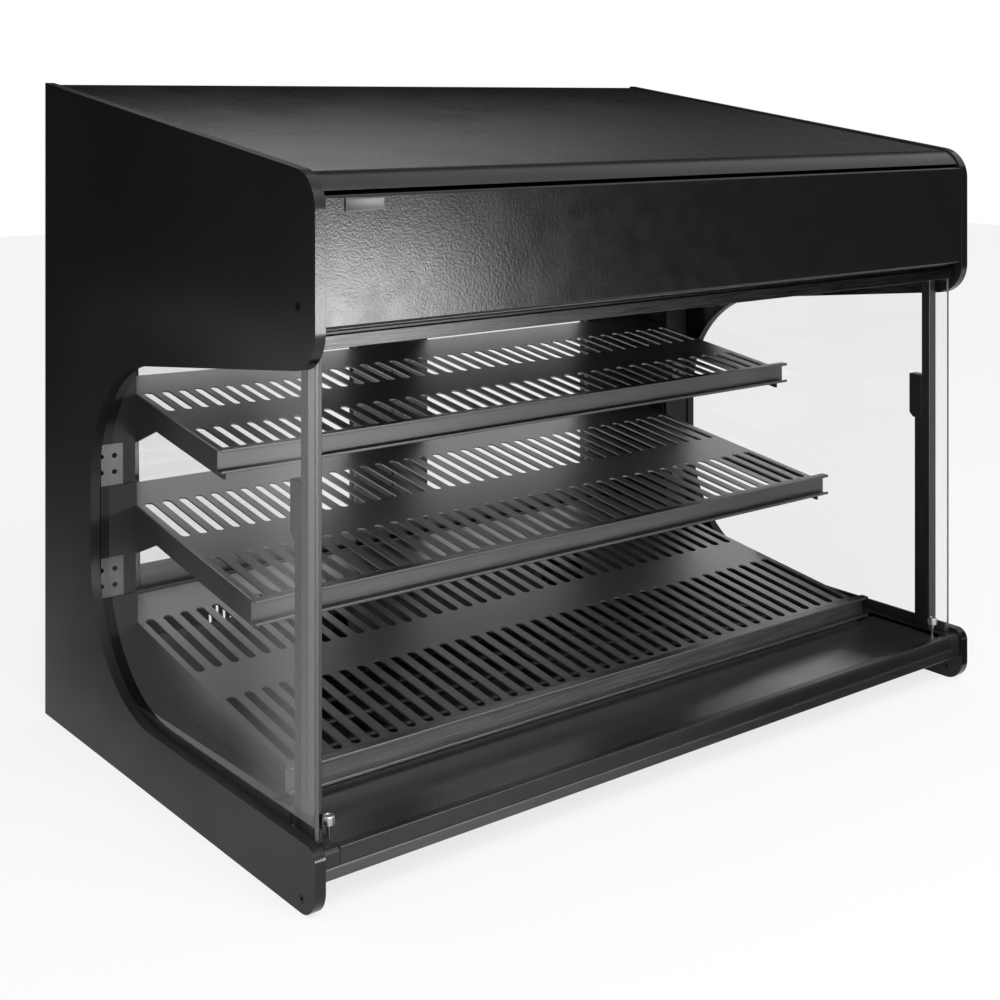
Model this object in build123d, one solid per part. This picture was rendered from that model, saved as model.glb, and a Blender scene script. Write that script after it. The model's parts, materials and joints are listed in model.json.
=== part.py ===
# Heated display case: a counter-top self-serve hot-air merchandiser, open at the front,
# with glazed sides, two sloping slotted shelves over a slotted hot-air deck, a lit hood
# and two hinged glass doors at the back.
# Millimetres. The origin is on the table under the middle of the case, +X is to the
# right seen from the front, +Y goes to the back and +Z up.
from build123d import *
from math import cos, radians, sin, tan
import os

# Overall sizes
WIDTH = 1000.0
DEPTH = 640.0
HEIGHT = 785.0
FRONT_Y = -DEPTH / 2
REAR_Y = DEPTH / 2
SLOPE = 8.0                      # degrees, roof and shelves alike
RISE = tan(radians(SLOPE))
SHEET = 2.0                      # folded steel sheet

# Side panels, C-shaped round the glazed opening
PANEL_T = 12.0
INNER_X = WIDTH / 2 - PANEL_T
ROOF_CORNER_R = 38.0
HOOD_ARM_FRONT_Z = 512.0
HOOD_ARM_RISE = 0.119            # the arm's lower edge falls towards the back
HOOD_ARM_R = 40.0
WINDOW_REAR_Y = 184.0
WINDOW_R = 160.0
FOOT_TOP_Z = 67.0
FOOT_TOP_R = 14.0
FOOT_TOE_R = 25.0

# Countersunk screws in the side panels: (y, z) of each, near the hood's and the foot's front
SCREW_PLACES = ((-289.0, 569.0), (-296.0, 14.0))
SCREW_R = 2.5
SCREW_HEAD_R = 4.6
SCREW_HEAD_H = 3.0
SCREW_SOCKET_R = 1.8
SCREW_SOCKET_DEPTH = 2.0

# Hood
ROOF_INSET = 2.0                 # the roof sheet lies this far inside the panels' edge
ROOF_LIP_Z = 679.0
FASCIA_TOP_Z = 675.0
FASCIA_BOTTOM_Z = 549.0
FASCIA_RETURN = 26.0
CEILING_Z = 545.0
BADGE_SIZE = (45.0, 1.5, 13.0)
BADGE_CENTRE = (-443.5, 665.5)
LAMP_Y = (-309.0, -281.0)
LAMP_Z = (529.0, 542.0)
LAMP_NECK = 5.0                  # set-back of the lamp channel's neck
DIFFUSER_Z = (530.0, 533.0)
STRIP_W = 12.0
STRIP_T = 2.0
CEILING_FRONT_Y = -300.0

# Side glass, its seals and the front posts
GLASS_T = 5.0
GLASS_Y = (-300.0, 185.0)
GLASS_Z = (65.0, 542.0)
POST_X = (469.0, 483.0)
POST_Y = (-283.0, -270.0)
COVER_REAR_Y = -259.0
BLOCK_REAR_Y = -250.0
BLOCK_Z = (340.0, 398.0)
PIN_PLACE = (466.5, -289.5)
PIN_HEAD_R = 6.0
PIN_STEM_R = 2.0
PIN_HEAD_Z = (72.0, 81.0)
SEAL_T = 4.0
SEAL_LIP = 9.0

# Base
PAN_Z = 32.0
RAIL_Z = 44.5
BASE_TOP_Z = 62.0
PAN_FRONT_Y = -296.0
RAIL_FRONT_Y = -316.0
PLATE_HALF = 470.0
LEDGE_Z = 57.0
LEDGE_REAR_Y = -188.0
PANEL_REAR_Y = 302.0             # outer face of the control panel
SILL_Z = 134.0
BODY_HALF = 441.0                # half the clear width between the rear columns

# Rear columns and the punched uprights on their front faces
COLUMN_Y = (190.0, 312.0)
UPRIGHT_X = (457.0, 488.0)
UPRIGHT_Z = (BASE_TOP_Z + SHEET, 540.0)
HOLE_XS = (467.0, 482.0)
HOLE_R = 3.0
HOLE_FIRST_Z = 89.4
HOLE_PITCH = 19.3
HOLE_ROWS = 23

# Shelves: front of the ticket rail, height of its top edge
SHELVES = {"top": (-52.0, 387.0), "middle": (-127.5, 241.5), "deck": (-197.0, 89.0)}
SHELF_REAR_Y = 256.0
SHELF_LIP = 6.5                  # the rail stands this far above the shelf
SHELF_FLANGE = 15.0
RAIL_H = 27.0
RAIL_D = 11.0
RAIL_HALF = 450.0
RAIL_T = 1.5
RAIL_RETURN = 3.5                # lips that keep a ticket in the rail

# Brackets that hang the shelves on the uprights
ARM_T = 3.0
ARM_DROP = 27.0
HOOK_DEPTH = 2.5 * ARM_DROP
HOOK_REACH = 59.0
BRACKET_T = 2.5
BRACKET_BELOW = 58.0             # cheek plate, from the shelf's surface at the column
BRACKET_ABOVE = 27.0
DECK_BRACKET_TOP_Z = 172.0
DECK_BRACKET_STUDS = (108.0, 147.0)
STUD_R = 2.5
STUD_ROWS = (-34.0, 4.5)
SLOT_W = 12.0
SLOT_COUNT = 37
SLOT_PITCH = 23.72
SLOT_REAR_MARGIN = 70.0
SLOT_GAP = 66.0
SLOT_FRONT_MARGIN = 14.0

# Hot-air gear in the base
HEATER_R = 4.0
HEATER_Z = 60.0
HEATER_REACH = 370.0
HEATER_PITCH = 56.0
HEATER_FIRST_Y = -110.0
HEATER_LEGS = 4
SUPPORT_XS = (-260.0, 0.0, 260.0)
FAN_X = 200.0
FAN_Z = 81.0
FAN_SIZE = 84.0
FAN_BORE_R = 38.0
FAN_TIP_R = 36.5
FAN_Y = (152.0, 180.0)
FAN_HUB_R = 15.0
FAN_SHAFT_R = 2.5
FAN_BLADES = 7
FAN_BLADE_TILT = 38.0
FAN_BLADE_W = 14.0
FAN_BLADE_T = 1.5
FAN_STRUT = (27.0, 4.0, 4.0)
FAN_STRUT_TURNS = (30.0, 150.0, 270.0)
FAN_BOSS_T = 6.0
RUNNING_GAP = 0.05

# Rear controls
KNOB_X = 340.0
CONTROL_Z = 86.0
KNOB_R = 18.0
KNOB_Y = (303.0, 319.0)
SHAFT_R = 3.0
SWITCH_XS = {"power": 230.0, "lamp": 262.0}
ROCKER = (12.0, 9.0, 24.0)
ROCKER_Y = 301.5
ROCKER_TILT = 9.0
GLAND_X = -380.0
GLAND_Z = 74.0
GLAND_R = 12.0
GLAND_BORE_R = 5.0
VENT_COUNT = 14
VENT_PITCH = 12.0
VENT_SIZE = (5.0, 52.0)
VENT_XS = (-200.0, 100.0)

# Rear doors
DOOR_Y = (288.0, 308.0)
DOOR_Z = (138.0, 528.0)
DOOR_OUTER_X = 439.0
DOOR_MEETING_X = 1.0
MEETING_STILE_W = 60.0
HINGE_STILE_W = {"left": 46.0, "right": 70.0}
DOOR_RAIL_H = 29.0
DOOR_GLASS_T = 4.0
HEADER_Z = DOOR_Z[1] + 4.0
PIVOT_X = 427.0
PIVOT_Y = 304.0
PIVOT_R = 4.0
PIVOT_DEPTH = 14.0
PIVOT_PLATE_T = 2.5
HANDLE_Z = (270.0, 400.0)
HANDLE_X = (20.0, 46.0)


def block(xs, ys, zs):
    """A box between two X, two Y and two Z values."""
    size = (xs[1] - xs[0], ys[1] - ys[0], zs[1] - zs[0])
    centre = ((xs[0] + xs[1]) / 2, (ys[0] + ys[1]) / 2, (zs[0] + zs[1]) / 2)
    return Pos(*centre) * Box(*size)


def rod_y(x, z, radius, ys):
    """A round bar along Y."""
    bar = Cylinder(radius, ys[1] - ys[0], rotation=(90, 0, 0))
    return Pos(x, (ys[0] + ys[1]) / 2, z) * bar


def rod_z(x, y, radius, zs):
    """A round bar along Z."""
    return Pos(x, y, (zs[0] + zs[1]) / 2) * Cylinder(radius, zs[1] - zs[0])


def profile_x(points, radii, xs):
    """A side-view outline of (y, z) points with corner radii, extruded from x to x."""
    edge = FilletPolyline(*points, radius=radii, close=True)
    return extrude(Plane.YZ.offset(xs[0]) * make_face(edge), xs[1] - xs[0])


def left_of(shape):
    """The mirror image on the left-hand side."""
    return mirror(shape, about=Plane.YZ)


def group(shapes):
    """Separate solids kept together in one node."""
    return Compound(children=[solid for shape in shapes for solid in shape.solids()])


def pair(shape):
    """A right-hand piece and its mirror image as one group."""
    return group([shape, left_of(shape)])


def roof_z(y):
    """Height of the side panels' sloping top edge."""
    return HEIGHT - (REAR_Y - y) * RISE


def shelf_z(name, y):
    """Height of a shelf's upper face."""
    rail_y, rail_top = SHELVES[name]
    return rail_top - SHELF_LIP + (y - rail_y - RAIL_D) * RISE


# Side panels and their screws
def screw_body():
    """Countersunk screw along Z, its head's face at Z = 0."""
    shank = Pos(0, 0, -PANEL_T / 2) * Cylinder(SCREW_R, PANEL_T)
    return shank + Pos(0, 0, -SCREW_HEAD_H / 2) * Cone(SCREW_R, SCREW_HEAD_R, SCREW_HEAD_H)


def at_screws(shape):
    """A shape at each screw's place in the right-hand panel, turned to face outwards."""
    return [Pos(WIDTH / 2, y, z) * Rot(0, 90, 0) * shape for y, z in SCREW_PLACES]


def panel_screws():
    """Screws with a hexagon socket."""
    socket = extrude(RegularPolygon(SCREW_SOCKET_R, 6), -SCREW_SOCKET_DEPTH)
    return group(at_screws(screw_body() - socket))


def side_panel():
    arm_rear_z = HOOD_ARM_FRONT_Z - HOOD_ARM_RISE * (WINDOW_REAR_Y - FRONT_Y)
    points = [
        (REAR_Y, 0), (REAR_Y, HEIGHT), (FRONT_Y, roof_z(FRONT_Y)), (FRONT_Y, HOOD_ARM_FRONT_Z),
        (WINDOW_REAR_Y, arm_rear_z), (WINDOW_REAR_Y, FOOT_TOP_Z), (FRONT_Y, FOOT_TOP_Z), (FRONT_Y, 0),
    ]
    radii = [0, 0, ROOF_CORNER_R, HOOD_ARM_R, WINDOW_R, WINDOW_R, FOOT_TOP_R, FOOT_TOE_R]
    return profile_x(points, radii, (INNER_X, WIDTH / 2)) - at_screws(screw_body())


# Hood
def roof_panel():
    """Sheet that rolls over the front corner and stops at a lip above the fascia."""
    outer = REAR_Y - SHEET
    nose = FRONT_Y + SHEET
    inner_nose = nose + SHEET
    points = [
        (outer, roof_z(outer) - ROOF_INSET), (nose, roof_z(nose) - ROOF_INSET), (nose, FASCIA_BOTTOM_Z),
        (inner_nose, FASCIA_BOTTOM_Z), (inner_nose, roof_z(inner_nose) - ROOF_INSET - SHEET),
        (outer, roof_z(outer) - ROOF_INSET - SHEET),
    ]
    corner = ROOF_CORNER_R - ROOF_INSET
    sheet = profile_x(points, [0, corner, 0, 0, corner - SHEET, 0], (-INNER_X, INNER_X))
    return sheet - block((-WIDTH, WIDTH), (FRONT_Y, FRONT_Y + ROOF_CORNER_R), (0, ROOF_LIP_Z))


def fascia_panel():
    face = FRONT_Y + SHEET
    back = face + FASCIA_RETURN
    points = [
        (face, FASCIA_BOTTOM_Z), (face, FASCIA_TOP_Z), (back, FASCIA_TOP_Z),
        (back, FASCIA_TOP_Z - SHEET), (face + SHEET, FASCIA_TOP_Z - SHEET),
        (face + SHEET, FASCIA_BOTTOM_Z + SHEET), (back, FASCIA_BOTTOM_Z + SHEET),
        (back, FASCIA_BOTTOM_Z),
    ]
    return profile_x(points, [3, 3, 0, 0, 1, 1, 0, 0], (-INNER_X, INNER_X))


def badge_plate():
    x, z = BADGE_CENTRE
    face = FRONT_Y + SHEET
    plate = Pos(x, face - BADGE_SIZE[1] / 2, z) * Box(*BADGE_SIZE)
    return fillet(plate.edges().filter_by(Axis.Y), 2)


def hood_ceiling():
    ys = (CEILING_FRONT_Y, REAR_Y - 2 * SHEET)
    return block((-INNER_X, INNER_X), ys, (CEILING_Z, CEILING_Z + SHEET))


def clear_of_glass(shape):
    """Notches a full-width piece round the front corner of each side pane and the posts."""
    corner = block((POST_X[1], WIDTH), (GLASS_Y[0], COVER_REAR_Y), GLASS_Z)
    corner += block((POST_X[0], WIDTH), (POST_Y[0], COVER_REAR_Y), GLASS_Z)
    return shape - corner - left_of(corner)


def lamp_channel():
    """Channel open downwards, with a neck that lifts it off the ceiling."""
    front, back = LAMP_Y
    low, high = LAMP_Z
    xs = (-INNER_X, INNER_X)
    inner = (front + SHEET, back - SHEET)
    neck = (front + LAMP_NECK, back - LAMP_NECK)
    channel = block(xs, LAMP_Y, LAMP_Z)
    channel -= block((-WIDTH, WIDTH), inner, (low - 1, high - SHEET))
    return clear_of_glass(channel + block(xs, neck, (high, CEILING_Z)))


def lamp_diffuser():
    inset = (LAMP_Y[0] + SHEET, LAMP_Y[1] - SHEET)
    return clear_of_glass(block((-INNER_X, INNER_X), inset, DIFFUSER_Z))


def lamp_strip():
    middle = (LAMP_Y[0] + LAMP_Y[1]) / 2
    top = LAMP_Z[1] - SHEET
    ys = (middle - STRIP_W / 2, middle + STRIP_W / 2)
    return block((-RAIL_HALF, RAIL_HALF), ys, (top - STRIP_T, top))


def rear_header():
    """Sheet above the doors with a flange over their top edge."""
    face = REAR_Y - SHEET
    inner = face - SHEET
    under_roof = ROOF_INSET + SHEET
    points = [
        (face, HEADER_Z), (face, roof_z(face) - under_roof), (inner, roof_z(inner) - under_roof),
        (inner, HEADER_Z + SHEET), (DOOR_Y[0], HEADER_Z + SHEET), (DOOR_Y[0], HEADER_Z),
    ]
    header = profile_x(points, [0] * 6, (-INNER_X, INNER_X))
    column_space = block((BODY_HALF, INNER_X), (0, COLUMN_Y[1]), (0, CEILING_Z))
    return header - column_space - left_of(column_space)


# Side glass and front posts
def side_glass():
    return block((INNER_X - GLASS_T, INNER_X), GLASS_Y, GLASS_Z)


def glass_seal():
    """L-shaped rubber under the pane's lower edge."""
    glass_x = INNER_X - GLASS_T
    lip = block((glass_x - SEAL_T, glass_x), GLASS_Y, (BASE_TOP_Z, GLASS_Z[0] + SEAL_LIP))
    floor = block((glass_x - SEAL_T, INNER_X), GLASS_Y, (BASE_TOP_Z, GLASS_Z[0]))
    return lip + floor - front_post_space()


def front_post_space():
    return block(POST_X, (POST_Y[0], BLOCK_REAR_Y), (BASE_TOP_Z, CEILING_Z))


def front_post():
    tube = block(POST_X, POST_Y, (BASE_TOP_Z, CEILING_Z))
    return chamfer(tube.edges().filter_by(Axis.Z), 0.8)


def post_cover():
    return block(POST_X, (POST_Y[1], COVER_REAR_Y), (BASE_TOP_Z, BLOCK_Z[0]))


def catch_block():
    body = block(POST_X, (POST_Y[1], BLOCK_REAR_Y), BLOCK_Z)
    heel = body.edges().filter_by(Axis.X).sort_by(Axis.Z)[:2].sort_by(Axis.Y)[-1]
    return chamfer(heel, 6)


def retaining_pin():
    x, y = PIN_PLACE
    stem = rod_z(x, y, PIN_STEM_R, (LEDGE_Z, PIN_HEAD_Z[1]))
    head = rod_z(x, y, PIN_HEAD_R, PIN_HEAD_Z)
    return stem + chamfer(head.edges().filter_by(GeomType.CIRCLE), 0.8)


# Base
def base_pan():
    floor = block((-INNER_X, INNER_X), (PAN_FRONT_Y, COLUMN_Y[1]), (PAN_Z, PAN_Z + SHEET))
    wall = block((INNER_X - SHEET, INNER_X), (PAN_FRONT_Y, COLUMN_Y[0]), (PAN_Z, BASE_TOP_Z - SHEET))
    return floor + wall + left_of(wall)


def base_side_cover():
    """Folded strip that closes the gap between the deck and the side glass."""
    front = SHELVES["deck"][0] + RAIL_D
    ys = (front, COLUMN_Y[0])
    inner = BODY_HALF + 1
    top = block((inner, INNER_X), ys, (BASE_TOP_Z - SHEET, BASE_TOP_Z))
    skirt = block((inner, inner + SHEET), ys, (PAN_Z + SHEET, BASE_TOP_Z))
    nose = block((POST_X[0], INNER_X), (PAN_FRONT_Y, front), (BASE_TOP_Z - SHEET, BASE_TOP_Z))
    return top + skirt + nose


def base_front_rail():
    rail = block((-INNER_X, INNER_X), (RAIL_FRONT_Y, PAN_FRONT_Y), (PAN_Z, RAIL_Z))
    return fillet(rail.edges().filter_by(Axis.X).sort_by(Axis.Y)[:2], 2)


def base_front_plate():
    plate = block((-PLATE_HALF, PLATE_HALF), (RAIL_FRONT_Y, RAIL_FRONT_Y + 10), (RAIL_Z, BASE_TOP_Z))
    return fillet(plate.edges().filter_by(Axis.X).sort_by(Axis.Y)[:2], 1.5)


def rail_end_block():
    body = block((PLATE_HALF, INNER_X), (RAIL_FRONT_Y, PAN_FRONT_Y), (RAIL_Z, BASE_TOP_Z))
    return fillet(body.edges().filter_by(Axis.X).sort_by(Axis.Y)[:2].sort_by(Axis.Z)[-1], 5)


def front_ledge():
    """Tray in front of the deck: flat top with a turned-down rear wall."""
    ys = (RAIL_FRONT_Y + 10, LEDGE_REAR_Y)
    top = block((-POST_X[0], POST_X[0]), ys, (LEDGE_Z - SHEET, LEDGE_Z))
    wall = block((-BODY_HALF, BODY_HALF), (ys[1] - SHEET, ys[1]), (PAN_Z + SHEET, LEDGE_Z))
    foot = block((-POST_X[0], POST_X[0]), (ys[0], ys[0] + SHEET), (RAIL_Z, LEDGE_Z))
    return top + wall + foot


def sill_rail():
    return block((-BODY_HALF, BODY_HALF), (SHELF_REAR_Y + 8, COLUMN_Y[1]), (SILL_Z - 14, SILL_Z))


# Columns
def punched_holes():
    """Two rows of round holes up the front of a column, as bars to cut with."""
    ys = (COLUMN_Y[0] - 10, COLUMN_Y[0] + 10)
    rows = [HOLE_FIRST_Z + index * HOLE_PITCH for index in range(HOLE_ROWS)]
    return group([rod_y(x, z, HOLE_R, ys) for x in HOLE_XS for z in rows])


def rear_column():
    """Folded post, open towards the side panel."""
    walls = block((BODY_HALF, INNER_X), COLUMN_Y, (PAN_Z + SHEET, CEILING_Z))
    hollow = block(
        (BODY_HALF + SHEET, INNER_X), (COLUMN_Y[0] + SHEET, COLUMN_Y[1] - SHEET), (0, HEIGHT)
    )
    return walls - hollow - punched_holes()


def slotted_upright():
    return block(UPRIGHT_X, (COLUMN_Y[0] - SHEET, COLUMN_Y[0]), UPRIGHT_Z) - punched_holes()


# Shelves
def slotted_plate(name):
    """The sloping sheet with two rows of round-ended slots running front to back."""
    rail_y = SHELVES[name][0]
    front = rail_y + RAIL_D
    length = (SHELF_REAR_Y - front) / cos(radians(SLOPE))
    slot = (length - SLOT_REAR_MARGIN - SLOT_GAP - SLOT_FRONT_MARGIN) / 2
    sketch = Pos(0, length / 2) * Rectangle(2 * BODY_HALF, length)
    first_y = SLOT_FRONT_MARGIN + slot / 2
    row_step = slot + SLOT_GAP
    rows = Pos(0, first_y + row_step / 2) * GridLocations(SLOT_PITCH, row_step, SLOT_COUNT, 2)
    sketch -= [place * SlotOverall(slot, SLOT_W, rotation=90) for place in rows]
    plane = Plane(
        origin=(0, front, shelf_z(name, front)), x_dir=(1, 0, 0),
        z_dir=(0, -sin(radians(SLOPE)), cos(radians(SLOPE))),
    )
    return extrude(plane * sketch, -SHEET)


def shelf(name):
    plate = slotted_plate(name)
    top = shelf_z(name, SHELF_REAR_Y)
    flange = block(
        (-BODY_HALF, BODY_HALF), (SHELF_REAR_Y - SHEET, SHELF_REAR_Y), (top - SHELF_FLANGE, top - 1)
    )
    return plate + flange


def deck():
    front = SHELVES["deck"][0] + RAIL_D
    plate = slotted_plate("deck")
    side_points = [
        (front + SHEET, PAN_Z + SHEET), (front + SHEET, shelf_z("deck", front + SHEET) - 1),
        (SHELF_REAR_Y, shelf_z("deck", SHELF_REAR_Y) - 1), (SHELF_REAR_Y, PAN_Z + SHEET),
    ]
    skirt = profile_x(side_points, [0] * 4, (BODY_HALF - SHEET, BODY_HALF))
    apron = block((-BODY_HALF, BODY_HALF), (front, front + SHEET), (LEDGE_Z, shelf_z("deck", front) - 1))
    return plate + skirt + left_of(skirt) + apron


def ticket_rail(name):
    """Forward-facing channel with two short lips along a shelf's front edge."""
    y, top = SHELVES[name]
    low = top - RAIL_H
    xs = (-RAIL_HALF, RAIL_HALF)
    rail = block(xs, (y, y + RAIL_D), (low, top))
    rail -= block((-WIDTH, WIDTH), (y + RAIL_T, y + RAIL_D - RAIL_T), (low + RAIL_T, top - RAIL_T))
    return rail - block((-WIDTH, WIDTH), (y - 1, y + RAIL_T), (low + RAIL_RETURN, top - RAIL_RETURN))


def cheek_plate(low, high, studs):
    """Plate on a column's front face, with studs that sit in the upright's holes."""
    face = COLUMN_Y[0] - SHEET
    plate = block((BODY_HALF - ARM_T, INNER_X), (face - BRACKET_T, face), (low, high))
    for z in studs:
        row = HOLE_FIRST_Z + round((z - HOLE_FIRST_Z) / HOLE_PITCH) * HOLE_PITCH
        for x in HOLE_XS:
            plate += rod_y(x, row, STUD_R, (face - 1, COLUMN_Y[0]))
    return plate


def shelf_bracket(name):
    """Arm under a shelf's side edge, hooked down at the column, with its cheek plate."""
    front = SHELVES[name][0] + RAIL_D
    rear = SHELF_REAR_Y - SHEET
    hook = COLUMN_Y[0] - HOOK_REACH
    under = SHEET / cos(radians(SLOPE))
    top = {y: shelf_z(name, y) - under for y in (front, hook, rear)}
    points = [
        (front, top[front] - ARM_DROP), (front, top[front]), (rear, top[rear]),
        (rear, top[rear] - HOOK_DEPTH), (COLUMN_Y[0], top[rear] - HOOK_DEPTH),
        (hook, top[hook] - ARM_DROP),
    ]
    arm = profile_x(points, [0] * 6, (BODY_HALF - ARM_T, BODY_HALF))
    surface = shelf_z(name, COLUMN_Y[0])
    studs = [surface + offset for offset in STUD_ROWS]
    cheek = cheek_plate(surface - BRACKET_BELOW, surface + BRACKET_ABOVE, studs)
    through = block((0, BODY_HALF), (0, REAR_Y), (top[hook], HEIGHT))
    return arm + (cheek - through)


def deck_bracket():
    """Cheek plate that steadies the lift-out deck at the column."""
    plate = cheek_plate(BASE_TOP_Z, DECK_BRACKET_TOP_Z, DECK_BRACKET_STUDS)
    return plate - block((0, BODY_HALF), (0, REAR_Y), (0, HEIGHT))


# Hot-air gear
def heater_element():
    """One sheathed tube bent into long legs across the base."""
    points = []
    for leg in range(HEATER_LEGS):
        y = HEATER_FIRST_Y + leg * HEATER_PITCH
        ends = (-HEATER_REACH, HEATER_REACH) if leg % 2 == 0 else (HEATER_REACH, -HEATER_REACH)
        points += [(ends[0], y, HEATER_Z), (ends[1], y, HEATER_Z)]
    bend = HEATER_PITCH / 2 - 0.5
    path = FilletPolyline(*points, radius=bend)
    section = Plane(origin=path @ 0, z_dir=path % 0) * Circle(HEATER_R)
    return sweep(section, path=path)


def heater_supports():
    back = HEATER_FIRST_Y + (HEATER_LEGS - 1) * HEATER_PITCH
    top = HEATER_Z - HEATER_R - 0.3
    strips = []
    for x in SUPPORT_XS:
        strips.append(block((x - 1.5, x + 1.5), (HEATER_FIRST_Y - 20, back + 20), (PAN_Z + SHEET, top)))
    return group(strips)


def fan_panel():
    """Partition behind the heater that carries the fans."""
    ys = (FAN_Y[0] - SHEET, FAN_Y[0])
    sheet = block((-BODY_HALF + SHEET, BODY_HALF - SHEET), ys, (PAN_Z + SHEET, FAN_Z + FAN_SIZE / 2 + 3))
    for x in (-FAN_X, FAN_X):
        sheet -= rod_y(x, FAN_Z, FAN_BORE_R, (ys[0] - 1, ys[1] + 1))
    return sheet


def fan_frame(x):
    frame = Pos(x, (FAN_Y[0] + FAN_Y[1]) / 2, FAN_Z) * Box(FAN_SIZE, FAN_Y[1] - FAN_Y[0], FAN_SIZE)
    frame = fillet(frame.edges().filter_by(Axis.Y), 4)
    frame -= rod_y(x, FAN_Z, FAN_BORE_R, (FAN_Y[0] - 1, FAN_Y[1] + 1))
    back = (FAN_Y[1] - FAN_BOSS_T, FAN_Y[1])
    boss = rod_y(x, FAN_Z, FAN_HUB_R, back)
    strut = Pos((FAN_HUB_R + FAN_SIZE / 2) / 2 - 1, 0, 0) * Box(*FAN_STRUT)
    for turn in FAN_STRUT_TURNS:
        boss += Pos(x, FAN_Y[1] - FAN_STRUT[1] / 2, FAN_Z) * Rot(0, turn, 0) * strut
    boss -= rod_y(x, FAN_Z, FAN_SHAFT_R + RUNNING_GAP, (back[0] - 1, back[1] + 1))
    return frame + boss


def fan_rotor(x):
    hub_y = (FAN_Y[0] + 2, FAN_Y[1] - 8)
    middle = (hub_y[0] + hub_y[1]) / 2
    rotor = rod_y(x, FAN_Z, FAN_HUB_R, hub_y)
    span = FAN_TIP_R - FAN_HUB_R + 2
    for index in range(FAN_BLADES):
        blade = Rot(FAN_BLADE_TILT, 0, 0) * Box(span, FAN_BLADE_W, FAN_BLADE_T)
        blade = Pos(FAN_HUB_R - 2 + span / 2, 0, 0) * blade
        rotor += Pos(x, middle, FAN_Z) * Rot(0, index * 360 / FAN_BLADES, 0) * blade
    shaft = rod_y(x, FAN_Z, FAN_SHAFT_R, (hub_y[1] - 1, FAN_Y[1] - 0.5))
    return rotor + shaft


# Rear controls
def control_panel():
    low = PAN_Z + SHEET
    sheet = block((-BODY_HALF, BODY_HALF), (PANEL_REAR_Y - SHEET, PANEL_REAR_Y), (low, SILL_Z - 14))
    through = (PANEL_REAR_Y - 5, PANEL_REAR_Y + 5)
    sheet -= rod_y(KNOB_X, CONTROL_Z, SHAFT_R + 1.5, through)
    sheet -= rod_y(GLAND_X, GLAND_Z, GLAND_R - 3, through)
    for x in SWITCH_XS.values():
        sheet -= Pos(x, PANEL_REAR_Y, CONTROL_Z) * Box(ROCKER[0] + 5, 20, ROCKER[2] + 5)
    wide, tall = VENT_SIZE
    for centre in VENT_XS:
        for index in range(VENT_COUNT):
            x = centre + (index - (VENT_COUNT - 1) / 2) * VENT_PITCH
            slot = SlotOverall(tall, wide, rotation=90)
            sheet -= extrude(Plane.XZ.offset(-PANEL_REAR_Y - 5) * Pos(x, CONTROL_Z - 6) * slot, 20)
    return sheet


def thermostat_body():
    body = block((KNOB_X - 20, KNOB_X + 20), (PANEL_REAR_Y - SHEET - 34, PANEL_REAR_Y - SHEET),
                 (CONTROL_Z - 22, CONTROL_Z + 22))
    body = fillet(body.edges().filter_by(Axis.Y), 3)
    return body - rod_y(KNOB_X, CONTROL_Z, SHAFT_R + RUNNING_GAP, (PANEL_REAR_Y - 22, PANEL_REAR_Y))


def thermostat_knob():
    """Turned knob with a flat grip bar and its spindle."""
    skirt = rod_y(KNOB_X, CONTROL_Z, KNOB_R, (KNOB_Y[0], KNOB_Y[0] + 5))
    skirt = fillet(skirt.edges().filter_by(GeomType.CIRCLE).sort_by(Axis.Y)[-1], 1.5)
    boss = rod_y(KNOB_X, CONTROL_Z, KNOB_R - 6, (KNOB_Y[0], KNOB_Y[1] - 3))
    grip = block((KNOB_X - 3.5, KNOB_X + 3.5), (KNOB_Y[0] + 3, KNOB_Y[1]),
                 (CONTROL_Z - KNOB_R + 2, CONTROL_Z + KNOB_R - 2))
    grip = fillet(grip.edges().filter_by(Axis.Z).sort_by(Axis.Y)[-2:], 2)
    spindle = rod_y(KNOB_X, CONTROL_Z, SHAFT_R, (PANEL_REAR_Y - 20, KNOB_Y[0] + 1))
    return skirt + boss + grip + spindle


def switch_housing(x):
    wide, _, tall = ROCKER
    body = Pos(x, PANEL_REAR_Y - 13, CONTROL_Z) * Box(wide + 5, 26, tall + 5)
    bezel = Pos(x, PANEL_REAR_Y + 1, CONTROL_Z) * Box(wide + 9, 2, tall + 9)
    bezel = fillet(bezel.edges().filter_by(Axis.Y), 1.5)
    well = Pos(x, PANEL_REAR_Y - 3, CONTROL_Z) * Box(wide + 1, 16, tall + 1.6)
    return body + bezel - well


def rocker(x):
    """Rocker key resting with its upper half pressed in."""
    key = fillet(Box(*ROCKER).edges().filter_by(Axis.X), 1.6)
    return Pos(x, ROCKER_Y, CONTROL_Z) * Rot(ROCKER_TILT, 0, 0) * key


def cable_gland():
    nut = RegularPolygon(GLAND_R + 1, 6)
    outside = Pos(0, 0, PANEL_REAR_Y) * extrude(nut, 7)
    cap = Pos(0, 0, PANEL_REAR_Y + 11) * Cylinder(GLAND_R - 2, 8)
    cap = fillet(cap.edges().filter_by(GeomType.CIRCLE).sort_by(Axis.Z)[-1], 2)
    thread = Pos(0, 0, PANEL_REAR_Y - 6) * Cylinder(GLAND_R - 3, 12)
    locknut = Pos(0, 0, PANEL_REAR_Y - SHEET - 5) * extrude(nut, 5)
    turned = outside + cap + thread + locknut - Cylinder(GLAND_BORE_R, 2000)
    return Pos(GLAND_X, 0, GLAND_Z) * Rot(-90, 0, 0) * turned


# Rear doors, drawn as right-hand ones; the left one is mirrored at the end
def pane_xs(side):
    """The glass lies between the meeting stile and the hinge stile."""
    return (DOOR_MEETING_X + MEETING_STILE_W, DOOR_OUTER_X - HINGE_STILE_W[side])


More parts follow.
